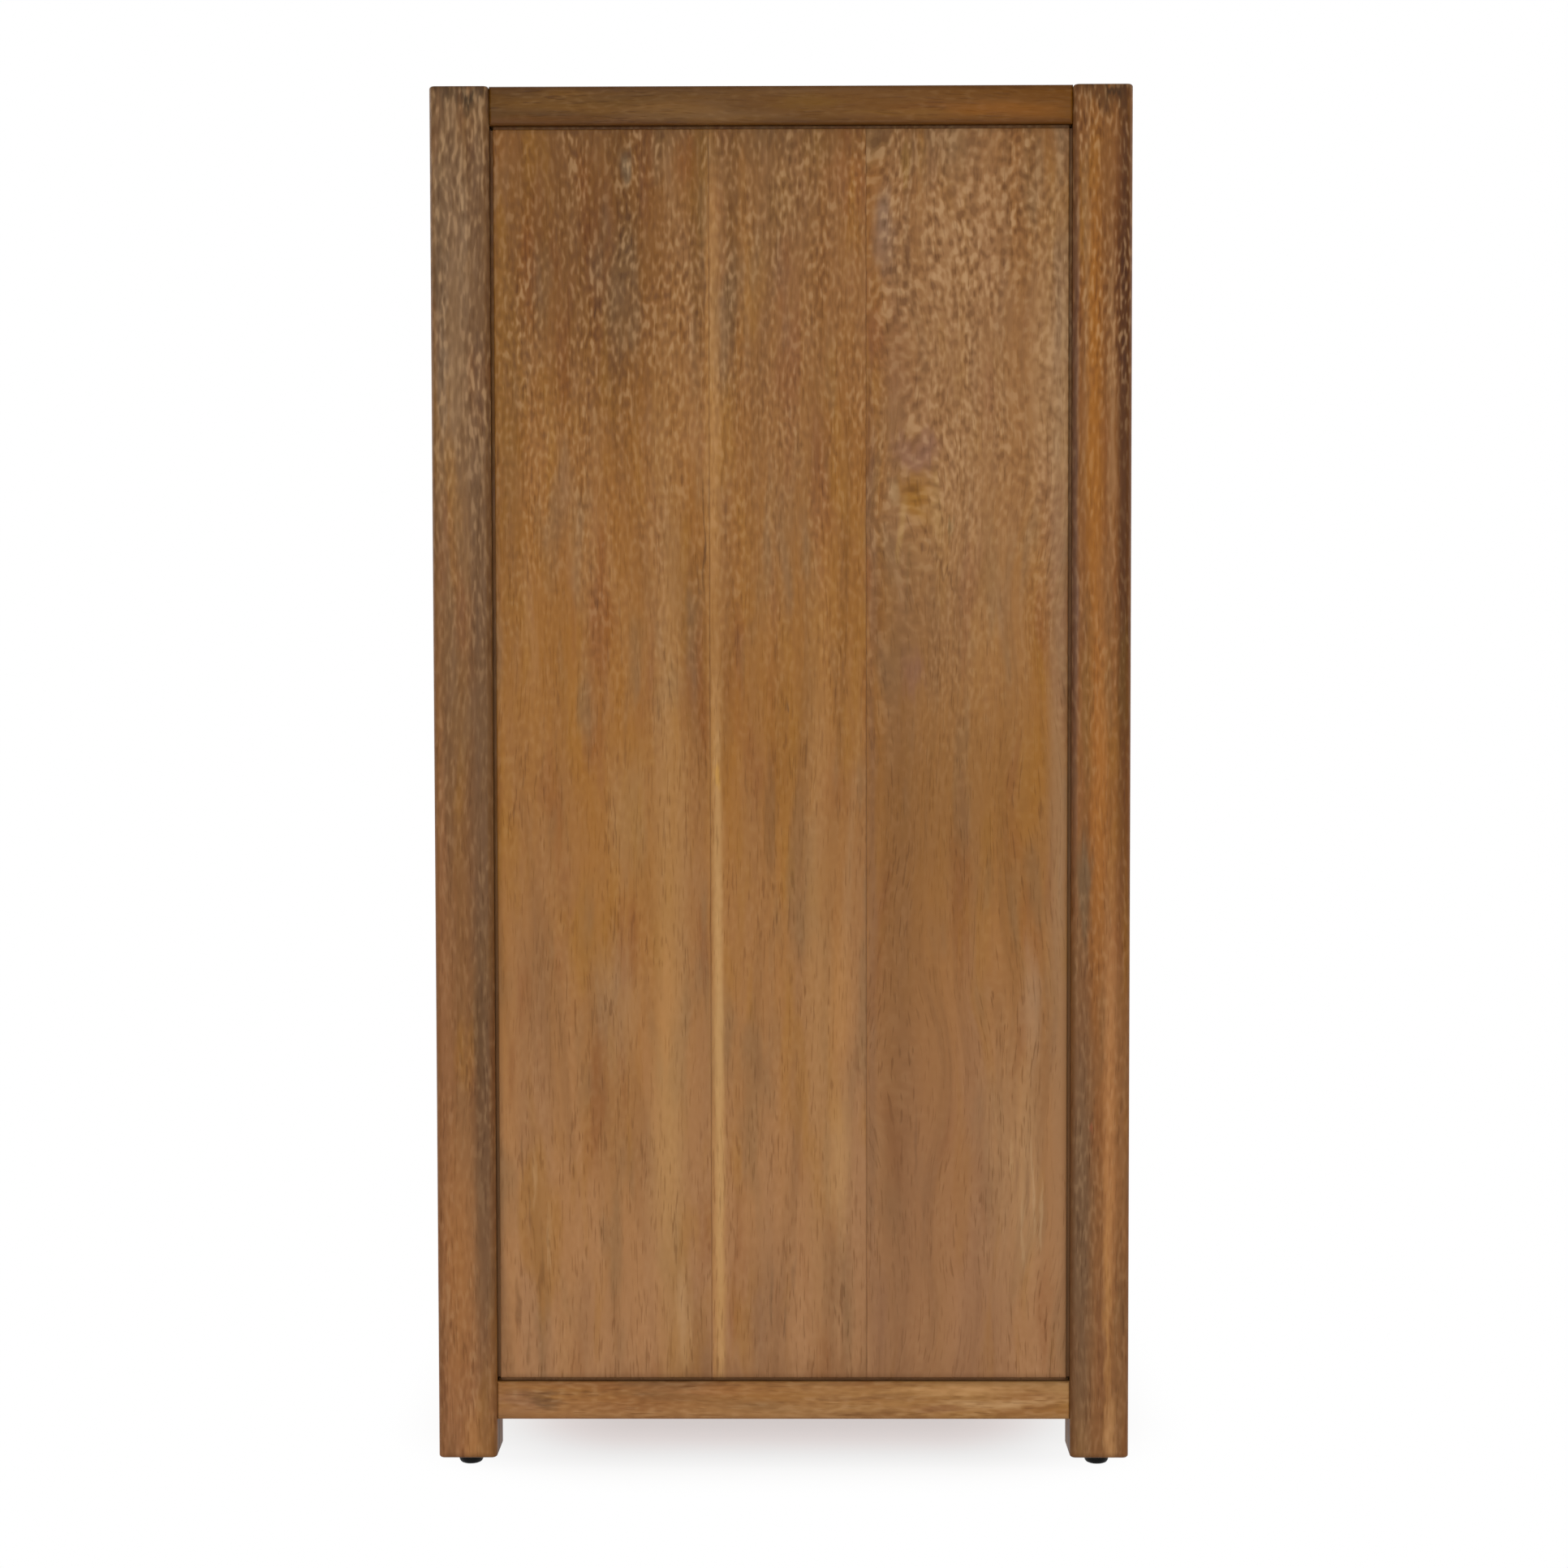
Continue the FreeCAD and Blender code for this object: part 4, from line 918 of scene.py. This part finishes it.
    def execute(self, context):
        acacia = context.scene.dresser.acacia
        legs = [f"{end}_{side}_leg" for end in ENDS for side in SIDES]
        for k, leg in enumerate(legs):
            looks = self.NEAR_LEGS.get(leg) or dict(
                stops=("#8F6743", "#84592F", "#83603C"), flecks=(0.35, 0.8), pith=(25 - 50 * (k % 2), -45),
                marks=stray_marks(leg, "YXZ", self.STRAYS, 40 + k, 9))
            Timber("stained_acacia", leg, acacia, Cut(
                "YXZ", 11.3 * (k + 1), patches=(0.4, 0.4), edges=0.5, lean=0.004, shaded_groove=self.LEG_JOINT_SHADE,
                **looks))
        rails = {f"{side}_{level}_rail": "ZXY" for side in SIDES for level in LEVELS}
        rails |= {f"{end}_{level}_rail": "ZYX" for end in ENDS for level in LEVELS}
        rails |= {f"divider_rail_{k}": "ZYX" for k in (1, 2, 3)}
        for k, (rail, axes) in enumerate(rails.items()):
            marks = self.NEAR_RAILS.get(rail) or stray_marks(rail, axes, self.STRAYS, 60 + k, 7)
            looks = self.TOP_RAIL if rail.endswith("top_rail") else self.LOWER_RAIL
            Timber("stained_acacia", rail, acacia, Cut(
                axes, 7.7 * (k + 3), marks=marks, pith=(8, -30), lean=0.006, **looks))
        return {"FINISHED"}


class DRESSER_OT_panel_timber(bpy.types.Operator):
    """Glued boards of the side panels and the top, and the stained back"""

    bl_idname = "dresser.panel_timber"
    bl_label = "Panels"

    # Rows of Mark after the near panel's own patches, streak and knot
    NEAR_MARKS = (
        (132, 800, 84, 420, "#A6835F", 0.38), (-135, 930, 110, 230, "#51340F", 0.42),
        (0, 950, 60, 110, "#6E5434", 0.25), (4, 840, 58, 330, "#8A6C4E", 0.2),
        (-46.4, 520, 8, 1100, "#BA8A50", 0.5, -0.28), (-44.6, 300, 5, 420, "#C8A068", 0.5, -0.2),
        (-46.5, 625, 10, 110, "#94642E", 0.55), (-46.5, 510, 3, 14, "#C9963F", 0.5),
        (-61, 900, 9, 170, "#5C3E16", 0.35), (-36, 890, 9, 170, "#5C3E18", 0.4),
        (204, 640, 13, 620, "#9A7E62", 0.42), (0, 974, 240, 24, "#5A3C14", 0.35),
        (0, 64, 240, 26, "#7A5230", 0.35), (85, 400, 24, 680, "#6A4628", 0.42),
        (102, 400, 34, 620, "#7A5432", 0.25), (-79, 400, 18, 640, "#AE8450", 0.42),
        (28, 400, 16, 420, "#AC7E48", 0.45), (-12, 115, 26, 90, "#7C5636", 0.38),
        (0, 535, 11, 90, "#82541F", 0.35), (-196, 800, 15, 240, "#5E4020", 0.32),
        (190, 800, 17, 200, "#B4926A", 0.3), (-52, 955, 20, 40, "#5A3C16", 0.3),
        (110, 958, 44, 30, "#6E5030", 0.3), (64, 775, 3, 100, "#6C3F17", 0.55),
        (132, 494, 84, 130, "#7C5428", 0.35), (-56, 683, 1.6, 70, "#5A3818", 0.6),
        (-56, 860, 1.4, 60, "#5A3818", 0.4), (-184, 880, 9, 65, "#7E4A14", 0.5),
        (-143, 945, 9, 32, "#7A4818", 0.5), (-68, 955, 11, 28, "#7C4818", 0.5),
        (-112, 953, 7, 24, "#7E6E54", 0.5), (-112, 890, 15, 45, "#64492A", 0.4),
        (-118, 830, 14, 70, "#62462A", 0.28), (-160, 700, 10, 90, "#8A5A2C", 0.35),
        (-90, 760, 8, 70, "#9A6C30", 0.35), (74, 905, 12, 45, "#866A55", 0.6),
        (68, 830, 10, 34, "#804A25", 0.5), (90, 955, 5, 24, "#8E6A2E", 0.5),
        (150, 880, 20, 60, "#9A6F48", 0.3), (120, 800, 14, 50, "#8A6038", 0.35),
        (98, 748, 26, 17, "#80584A", 0.5), (97, 713, 19, 28, "#96661E", 0.85),
        (97, 722, 7, 9, "#7A4E14", 0.6), (81, 712, 7, 18, "#A8875C", 0.6),
        (87, 690, 4, 34, "#A8814A", 0.55, 8), (113, 704, 6, 34, "#A8804C", 0.6, -6),
        (123, 690, 4, 12, "#6B5632", 0.6), (105, 690, 3, 14, "#70451A", 0.5, -25),
        (120, 660, 2.5, 40, "#6A4320", 0.5, -31), (92, 655, 2.5, 50, "#76552E", 0.4, 4),
        (70, 640, 7, 60, "#6E4420", 0.5), (96, 585, 12, 26, "#855A46", 0.5),
        (150, 665, 14, 60, "#8A6438", 0.35), (4, 557, 1.8, 9, "#5A3A20", 0.6),
        (30, 640, 16, 120, "#A06E36", 0.4), (35, 470, 14, 120, "#A4723C", 0.35),
        (67, 380, 6, 640, "#7A563C", 0.45), (132, 190, 84, 300, "#8C6248", 0.32),
        (0, 930, 16, 40, "#86602F", 0.35), (41, 225, 14, 85, "#C69A62", 0.38),
        (165, 225, 34, 150, "#BE9A6A", 0.17), (180, 220, 14, 130, "#C4A278", 0.18),
        (-88, 230, 18, 130, "#BE9660", 0.25), (-73, 110, 9, 60, "#C8A070", 0.35),
        (-146, 110, 12, 60, "#7C5636", 0.3), (72, 110, 9, 60, "#7C5640", 0.3),
        (-18, 105, 9, 50, "#7C5A44", 0.25), (-7, 485, 6, 70, "#7E562E", 0.35),
        (112, 620, 42, 70, "#6E4A28", 0.25), (207, 800, 6, 170, "#C8A272", 0.35),
        (-86, 345, 8, 80, "#C08A50", 0.3), (-9, 485, 5, 90, "#6E4A28", 0.35),
        (42, 345, 14, 80, "#C08A4C", 0.3), (-122, 345, 22, 75, "#A88A68", 0.3),
        (182, 345, 10, 70, "#B09070", 0.35), (-112, 480, 22, 70, "#A08058", 0.3),
        (-192, 230, 2, 30, "#6A4424", 0.5), (-186, 190, 2, 26, "#6E4826", 0.45),
        (-178, 140, 2, 24, "#6E4826", 0.45), (-195, 120, 2, 28, "#6A4424", 0.5),
        (-170, 250, 2, 22, "#7A522E", 0.45), (-188, 90, 2, 18, "#6E4826", 0.45),
        (-182, 215, 3, 30, "#C09A6C", 0.35), (-172, 170, 3, 34, "#BE986A", 0.35),
        (184, 210, 2, 45, "#C8AA80", 0.26), (176, 180, 2, 40, "#C6A67C", 0.28),
        (190, 190, 2, 36, "#C8AA80", 0.24), (168, 230, 2, 40, "#C2A070", 0.3),
        (180, 200, 2, 30, "#7A5638", 0.4), (172, 215, 2, 26, "#7A5638", 0.35),
        (-9, 130, 2, 36, "#74563C", 0.4), (2, 110, 2, 34, "#74563C", 0.4), (8, 150, 2, 30, "#7A5A3E", 0.35),
        (55, 300, 2, 36, "#7A5230", 0.4), (97, 240, 2, 40, "#6E4A30", 0.4),
    )
    NEAR_KNOT = (97, 711)
    FAR_KNOT = (-120, 300)
    TOP_KNOT = (120, -180)

    def execute(self, context):
        acacia = context.scene.dresser.acacia
        for k, side in enumerate(SIDES):
            panel = f"{side}_side_panel"
            near = side == "right"
            Timber("stained_acacia", panel, acacia, Cut(
                "YXZ", 19.1 * (k + 1), seams=GLUE_LINES, boards=BOARDS,
                knots=(self.NEAR_KNOT if near else self.FAR_KNOT,),
                marks=self.NEAR_MARKS if near else stray_marks(panel, "YXZ", FACE_STRAYS, 80, 22),
                flecks=(0.22, 0.87), patches=(0.4, 0.6), bands=0.24, edges=0.3, trim=(10.5, 0, 10.5),
                pith=(30, -55), shaded_groove=(("X", 444.75, 6),)))
        Timber("stained_acacia", "top_panel", acacia, Cut(
            "YZX", 57.3, seams=GLUE_LINES, boards=BOARDS, knots=(self.TOP_KNOT,),
            marks=stray_marks("top_panel", "YZX", FACE_STRAYS, 83, 22), flecks=(0.6, 0.6), patches=(0.4, 0.4),
            trim=(10.5, 0, 8), pith=(-20, -70)))
        Timber("stained_birch_plywood", "back_panel", acacia, Cut(
            "XYZ", 71.9, bands=0.35, flecks=(0.25, 0.25), patches=(0.12, 0.12),
            stops=("#8E6A44", "#8A643C", "#86603A"), pith=(120, -320), lean=0.09))
        return {"FINISHED"}


class DRESSER_OT_drawer_timber(bpy.types.Operator):
    """Stained drawer fronts, and the pale boxes behind them with their battens"""

    bl_idname = "dresser.drawer_timber"
    bl_label = "Drawers and battens"

    PALE_STRAYS = ("#BF9058", "#DDBB86", "#C7A06C")
    RUBBERWOOD = dict(bands=0.2, patches=(0.4, 0.4), flecks=(0.3, 0.3))

    def execute(self, context):
        looks = context.scene.dresser
        for k in DRAWERS:
            front = f"drawer_{k}_front"
            Timber("stained_acacia", front, looks.acacia, Cut(
                "ZYX", 23.7 * k, marks=stray_marks(front, "ZYX", FACE_STRAYS, k, 14), flecks=(0.55, 0.55),
                patches=(0.4, 0.4), pith=(30 - 20 * k, -50)))
            boards = {f"drawer_{k}_{side}_side": "ZXY" for side in SIDES}
            boards[f"drawer_{k}_back"] = "ZYX"
            for n, (board, axes) in enumerate(boards.items()):
                Timber("lacquered_rubberwood", board, looks.rubberwood, Cut(
                    axes, 5.3 * k + 1.9 * n, marks=stray_marks(board, axes, self.PALE_STRAYS, 10 * k + n, 5),
                    pith=(20, -60), lean=0.01, **self.RUBBERWOOD))
            bottom = f"drawer_{k}_bottom"
            Timber("sealed_birch_plywood", bottom, looks.plywood, Cut(
                "YZX", 3.1 * k, marks=stray_marks(bottom, "YZX", self.PALE_STRAYS, 20 + k, 8),
                bands=0.25, patches=(0.4, 0.4), flecks=(0.2, 0.2), pith=(60, -250), lean=0.08))
        for n, side in enumerate(SIDES):
            Timber("lacquered_rubberwood", f"{side}_slide_battens", looks.rubberwood, Cut(
                "ZXY", 31.3 + n, pith=(15, -50), lean=0.004, **self.RUBBERWOOD))
        return {"FINISHED"}


class DRESSER_OT_slides(bpy.types.Operator):
    """Three-part drawer slides, rolled from zinc-plated strip"""

    bl_idname = "dresser.slides"
    bl_label = "Drawer slides"

    def execute(self, context):
        fittings = context.scene.dresser.fittings
        steel = zinc_steel("zinc_plated_strip_steel", "Y")
        members = [("slide_case_members", "case", True)]
        for k in DRAWERS:
            members.append((f"drawer_{k}_slide_middle", f"drawer_{k}_runners", True))
            members.append((f"drawer_{k}_slide_inner", f"drawer_{k}", False))
        for node, body, web_outside in members:
            shells = [slide_shell(points, web_outside, fittings) for points in solids(node, SLIDE_GAP, "XZ")]
            add_piece(f"{node}_rolled", shells, steel, body, [node])
        return {"FINISHED"}


class DRESSER_OT_screws(bpy.types.Operator):
    """Pan-head screws of the slides and the back panel"""

    bl_idname = "dresser.screws"
    bl_label = "Screws"

    def execute(self, context):
        fittings = context.scene.dresser.fittings
        steel = zinc_steel("zinc_plated_screw_steel", "Z")
        groups = [("back_panel_screws", "case"), ("slide_case_screws", "case")]
        groups += [(f"drawer_{k}_slide_screws", f"drawer_{k}") for k in DRAWERS]
        for node, body in groups:
            shells = [screw_shell(points, fittings) for points in solids(node, SCREW_GAP)]
            add_piece(f"{node}_threaded", shells, steel, body, [node])
        return {"FINISHED"}


class DRESSER_OT_glides(bpy.types.Operator):
    """Black bowl-shaped floor glides and their nails"""

    bl_idname = "dresser.glides"
    bl_label = "Floor glides"

    def execute(self, context):
        shells = [glide_shell(points) for points in solids("floor_glides", GLIDE_GAP)]
        add_piece("floor_glides_moulded", shells, black_polyethylene(), "case",
                  ["floor_glides"])
        show("glide_nails", zinc_steel("zinc_plated_nail_steel", "Z"))
        return {"FINISHED"}


class DRESSER_OT_stage(bpy.types.Operator):
    """Pale floor, soft light from all round and the camera square to the right end"""

    bl_idname = "dresser.stage"
    bl_label = "Stage"

    FLOOR_SIDES = 64
    FLOOR_RADII = (40, 12, 4, 1.5, 0.5)
    # Distances over which the painted warm reflection and the shadow fade, as shares of the shadow's fade
    PAINTED_BOUNCE_FADE = (0.35, 0.8)
    SHADOW_END = 1.5
    # Place, width and level of each lamp
    LAMPS = {
        "key": ((3.9, -0.4, 0.9), 2.2, 0.36),
        "front": ((-0.5, -3.6, 1.4), 2.2, 0.36),
        "back": ((0.4, 3.6, 1.4), 2.2, 0.34),
        "far_end": ((-3.6, 0.4, 1.4), 2.2, 0.36),
        "top": ((0.3, -0.2, 3.6), 2.4, 0.30),
    }
    LAMP_TARGET = (0, 0, 0.5)

    def execute(self, context):
        scene = context.scene
        looks = scene.dresser.stage
        scene.view_settings.view_transform = "Standard"
        self.add_floor(scene, looks)
        self.add_surround(scene, looks)
        self.add_lamps(scene)
        self.add_camera(scene, looks)
        return {"FINISHED"}

    def add_floor(self, scene, looks):
        """A round floor, rings of points on a plane. It is lit and shaded near the dresser, where the camera
        also sees a painted warm reflection of the timber, and turns plain white for the camera further out."""
        angle = full_turn(self.FLOOR_SIDES)
        radius = np.array(self.FLOOR_RADII)[:, None]
        points, faces = tube(
            np.stack([radius * np.cos(angle), radius * np.sin(angle), 0 * radius * angle], axis=-1))
        # The polygon over the outermost ring would lie on all the others
        del faces[-2]
        mesh = bpy.data.meshes.new("pale_floor")
        mesh.from_pydata(points.tolist(), [], faces)
        floor = bpy.data.objects.new("pale_floor", mesh)
        scene.collection.objects.link(floor)
        material, node = new_material("pale_floor")
        fade = looks.shadow_fade
        reach = node("VectorMath", {0: node("TexCoord", {}).outputs["Object"]}, operation="ABSOLUTE")
        core = [side - fade for side in CAD_BOX[1]]
        beyond = node("VectorMath", {0: reach, 1: core}, operation="SUBTRACT")
        beyond = node("VectorMath", {0: beyond, 1: (0, 0, 0)}, operation="MAXIMUM")
        out = node("VectorMath", {0: beyond}, operation="LENGTH").outputs["Value"]
        glow = node("MapRange", {
            "Value": out, "From Max": self.SHADOW_END * fade, "To Min": looks.floor_glow,
        }, interpolation_type="SMOOTHSTEP")
        # Painted warm reflection of the timber on the floor, for the camera only
        painted_bounce = lay(node, looks.floor_painted_bounce, WHITE, out, *(part * fade for part in self.PAINTED_BOUNCE_FADE), 1)
        node("OutputMaterial", {"Surface": node("MixShader", {
            0: node("Math", {0: seen_directly(node), 1: glow}, operation="MULTIPLY"),
            1: node("BsdfDiffuse", {"Color": looks.floor}),
            2: node("Emission", {"Color": painted_bounce, "Strength": 1.0}),
        })})
        mesh.materials.append(material)

    def add_surround(self, scene, looks):
        """An even pale light from all round that the camera sees as white."""
        world = bpy.data.worlds.new("white_surround")
        scene.world = world
        world.use_nodes = True
        world.node_tree.nodes.clear()
        node = partial(add_node, world.node_tree)
        strength = node("MapRange", {"Value": seen_directly(node), "To Min": looks.ambient})
        node("OutputWorld", {"Surface": node("Background", {"Color": WHITE, "Strength": strength})})

    def add_lamps(self, scene):
        """Soft round lamps on every side, each as bright at the dresser as its level says."""
        for name, (place, width, level) in self.LAMPS.items():
            lamp = bpy.data.lights.new(f"{name}_lamp", "AREA")
            lamp.shape, lamp.size = "DISK", width
            aim = np.array(self.LAMP_TARGET) - np.array(place)
            lamp.energy = math.pi ** 2 * float(aim @ aim) * level
            holder = bpy.data.objects.new(f"{name}_lamp", lamp)
            scene.collection.objects.link(holder)
            spin = math.atan2(aim[1], aim[0]) - math.pi / 2
            tip = math.atan2(aim[2], math.hypot(aim[0], aim[1])) + math.pi / 2
            holder.matrix_world = (
                Matrix.Translation(place) @ Matrix.Rotation(spin, 4, "Z") @ Matrix.Rotation(tip, 4, "X"))
            holder.visible_camera = False

    def add_camera(self, scene, looks):
        """The camera, level with the right end and a little above its middle."""
        camera = bpy.data.cameras.new("end_view")
        camera.lens, camera.sensor_width, camera.sensor_fit = looks.focal_length, 36, "HORIZONTAL"
        viewer = bpy.data.objects.new("end_view", camera)
        scene.collection.objects.link(viewer)
        pitch, turn, roll = looks.camera_turn
        viewer.matrix_world = (
            Matrix.Translation(looks.camera_place)
            @ Matrix.Rotation(math.pi / 2 + turn, 4, "Z")
            @ Matrix.Rotation(math.pi / 2 - pitch, 4, "X")
            @ Matrix.Rotation(roll, 4, "Z")
        )
        scene.camera = viewer


class DRESSER_PT_looks(bpy.types.Panel):
    """Steps and looks of the dresser"""

    bl_idname = "DRESSER_PT_looks"
    bl_label = "Dresser"
    bl_space_type = "VIEW_3D"
    bl_region_type = "UI"
    bl_category = "Dresser"

    def draw(self, context):
        looks = context.scene.dresser
        for step in STEPS:
            self.layout.operator(step.bl_idname)
        for part in DresserLooks.__annotations__:
            group = getattr(looks, part)
            box = self.layout.box()
            for name in group.__annotations__:
                box.prop(group, name)


STEPS = (
    DRESSER_OT_frame_timber,
    DRESSER_OT_panel_timber,
    DRESSER_OT_drawer_timber,
    DRESSER_OT_slides,
    DRESSER_OT_screws,
    DRESSER_OT_glides,
    DRESSER_OT_stage,
)
CLASSES = (
    StainedAcacia,
    LacqueredRubberwood,
    BirchPlywood,
    GrainSizes,
    FittingSizes,
    StageLooks,
    DresserLooks,
    *STEPS,
    DRESSER_PT_looks,
)


def register():
    """Registers the classes and gives each scene its dresser properties."""
    for cls in CLASSES:
        bpy.utils.register_class(cls)
    bpy.types.Scene.dresser = group_of(DresserLooks, "Dresser", "Looks of the dresser")


def unregister():
    """Takes the properties and classes away again."""
    del bpy.types.Scene.dresser
    for cls in reversed(CLASSES):
        bpy.utils.unregister_class(cls)


def main():
    """Runs each step in order."""
    register()
    for step in STEPS:
        family, action = step.bl_idname.split(".")
        getattr(getattr(bpy.ops, family), action)()


if __name__ == "__main__":
    main()
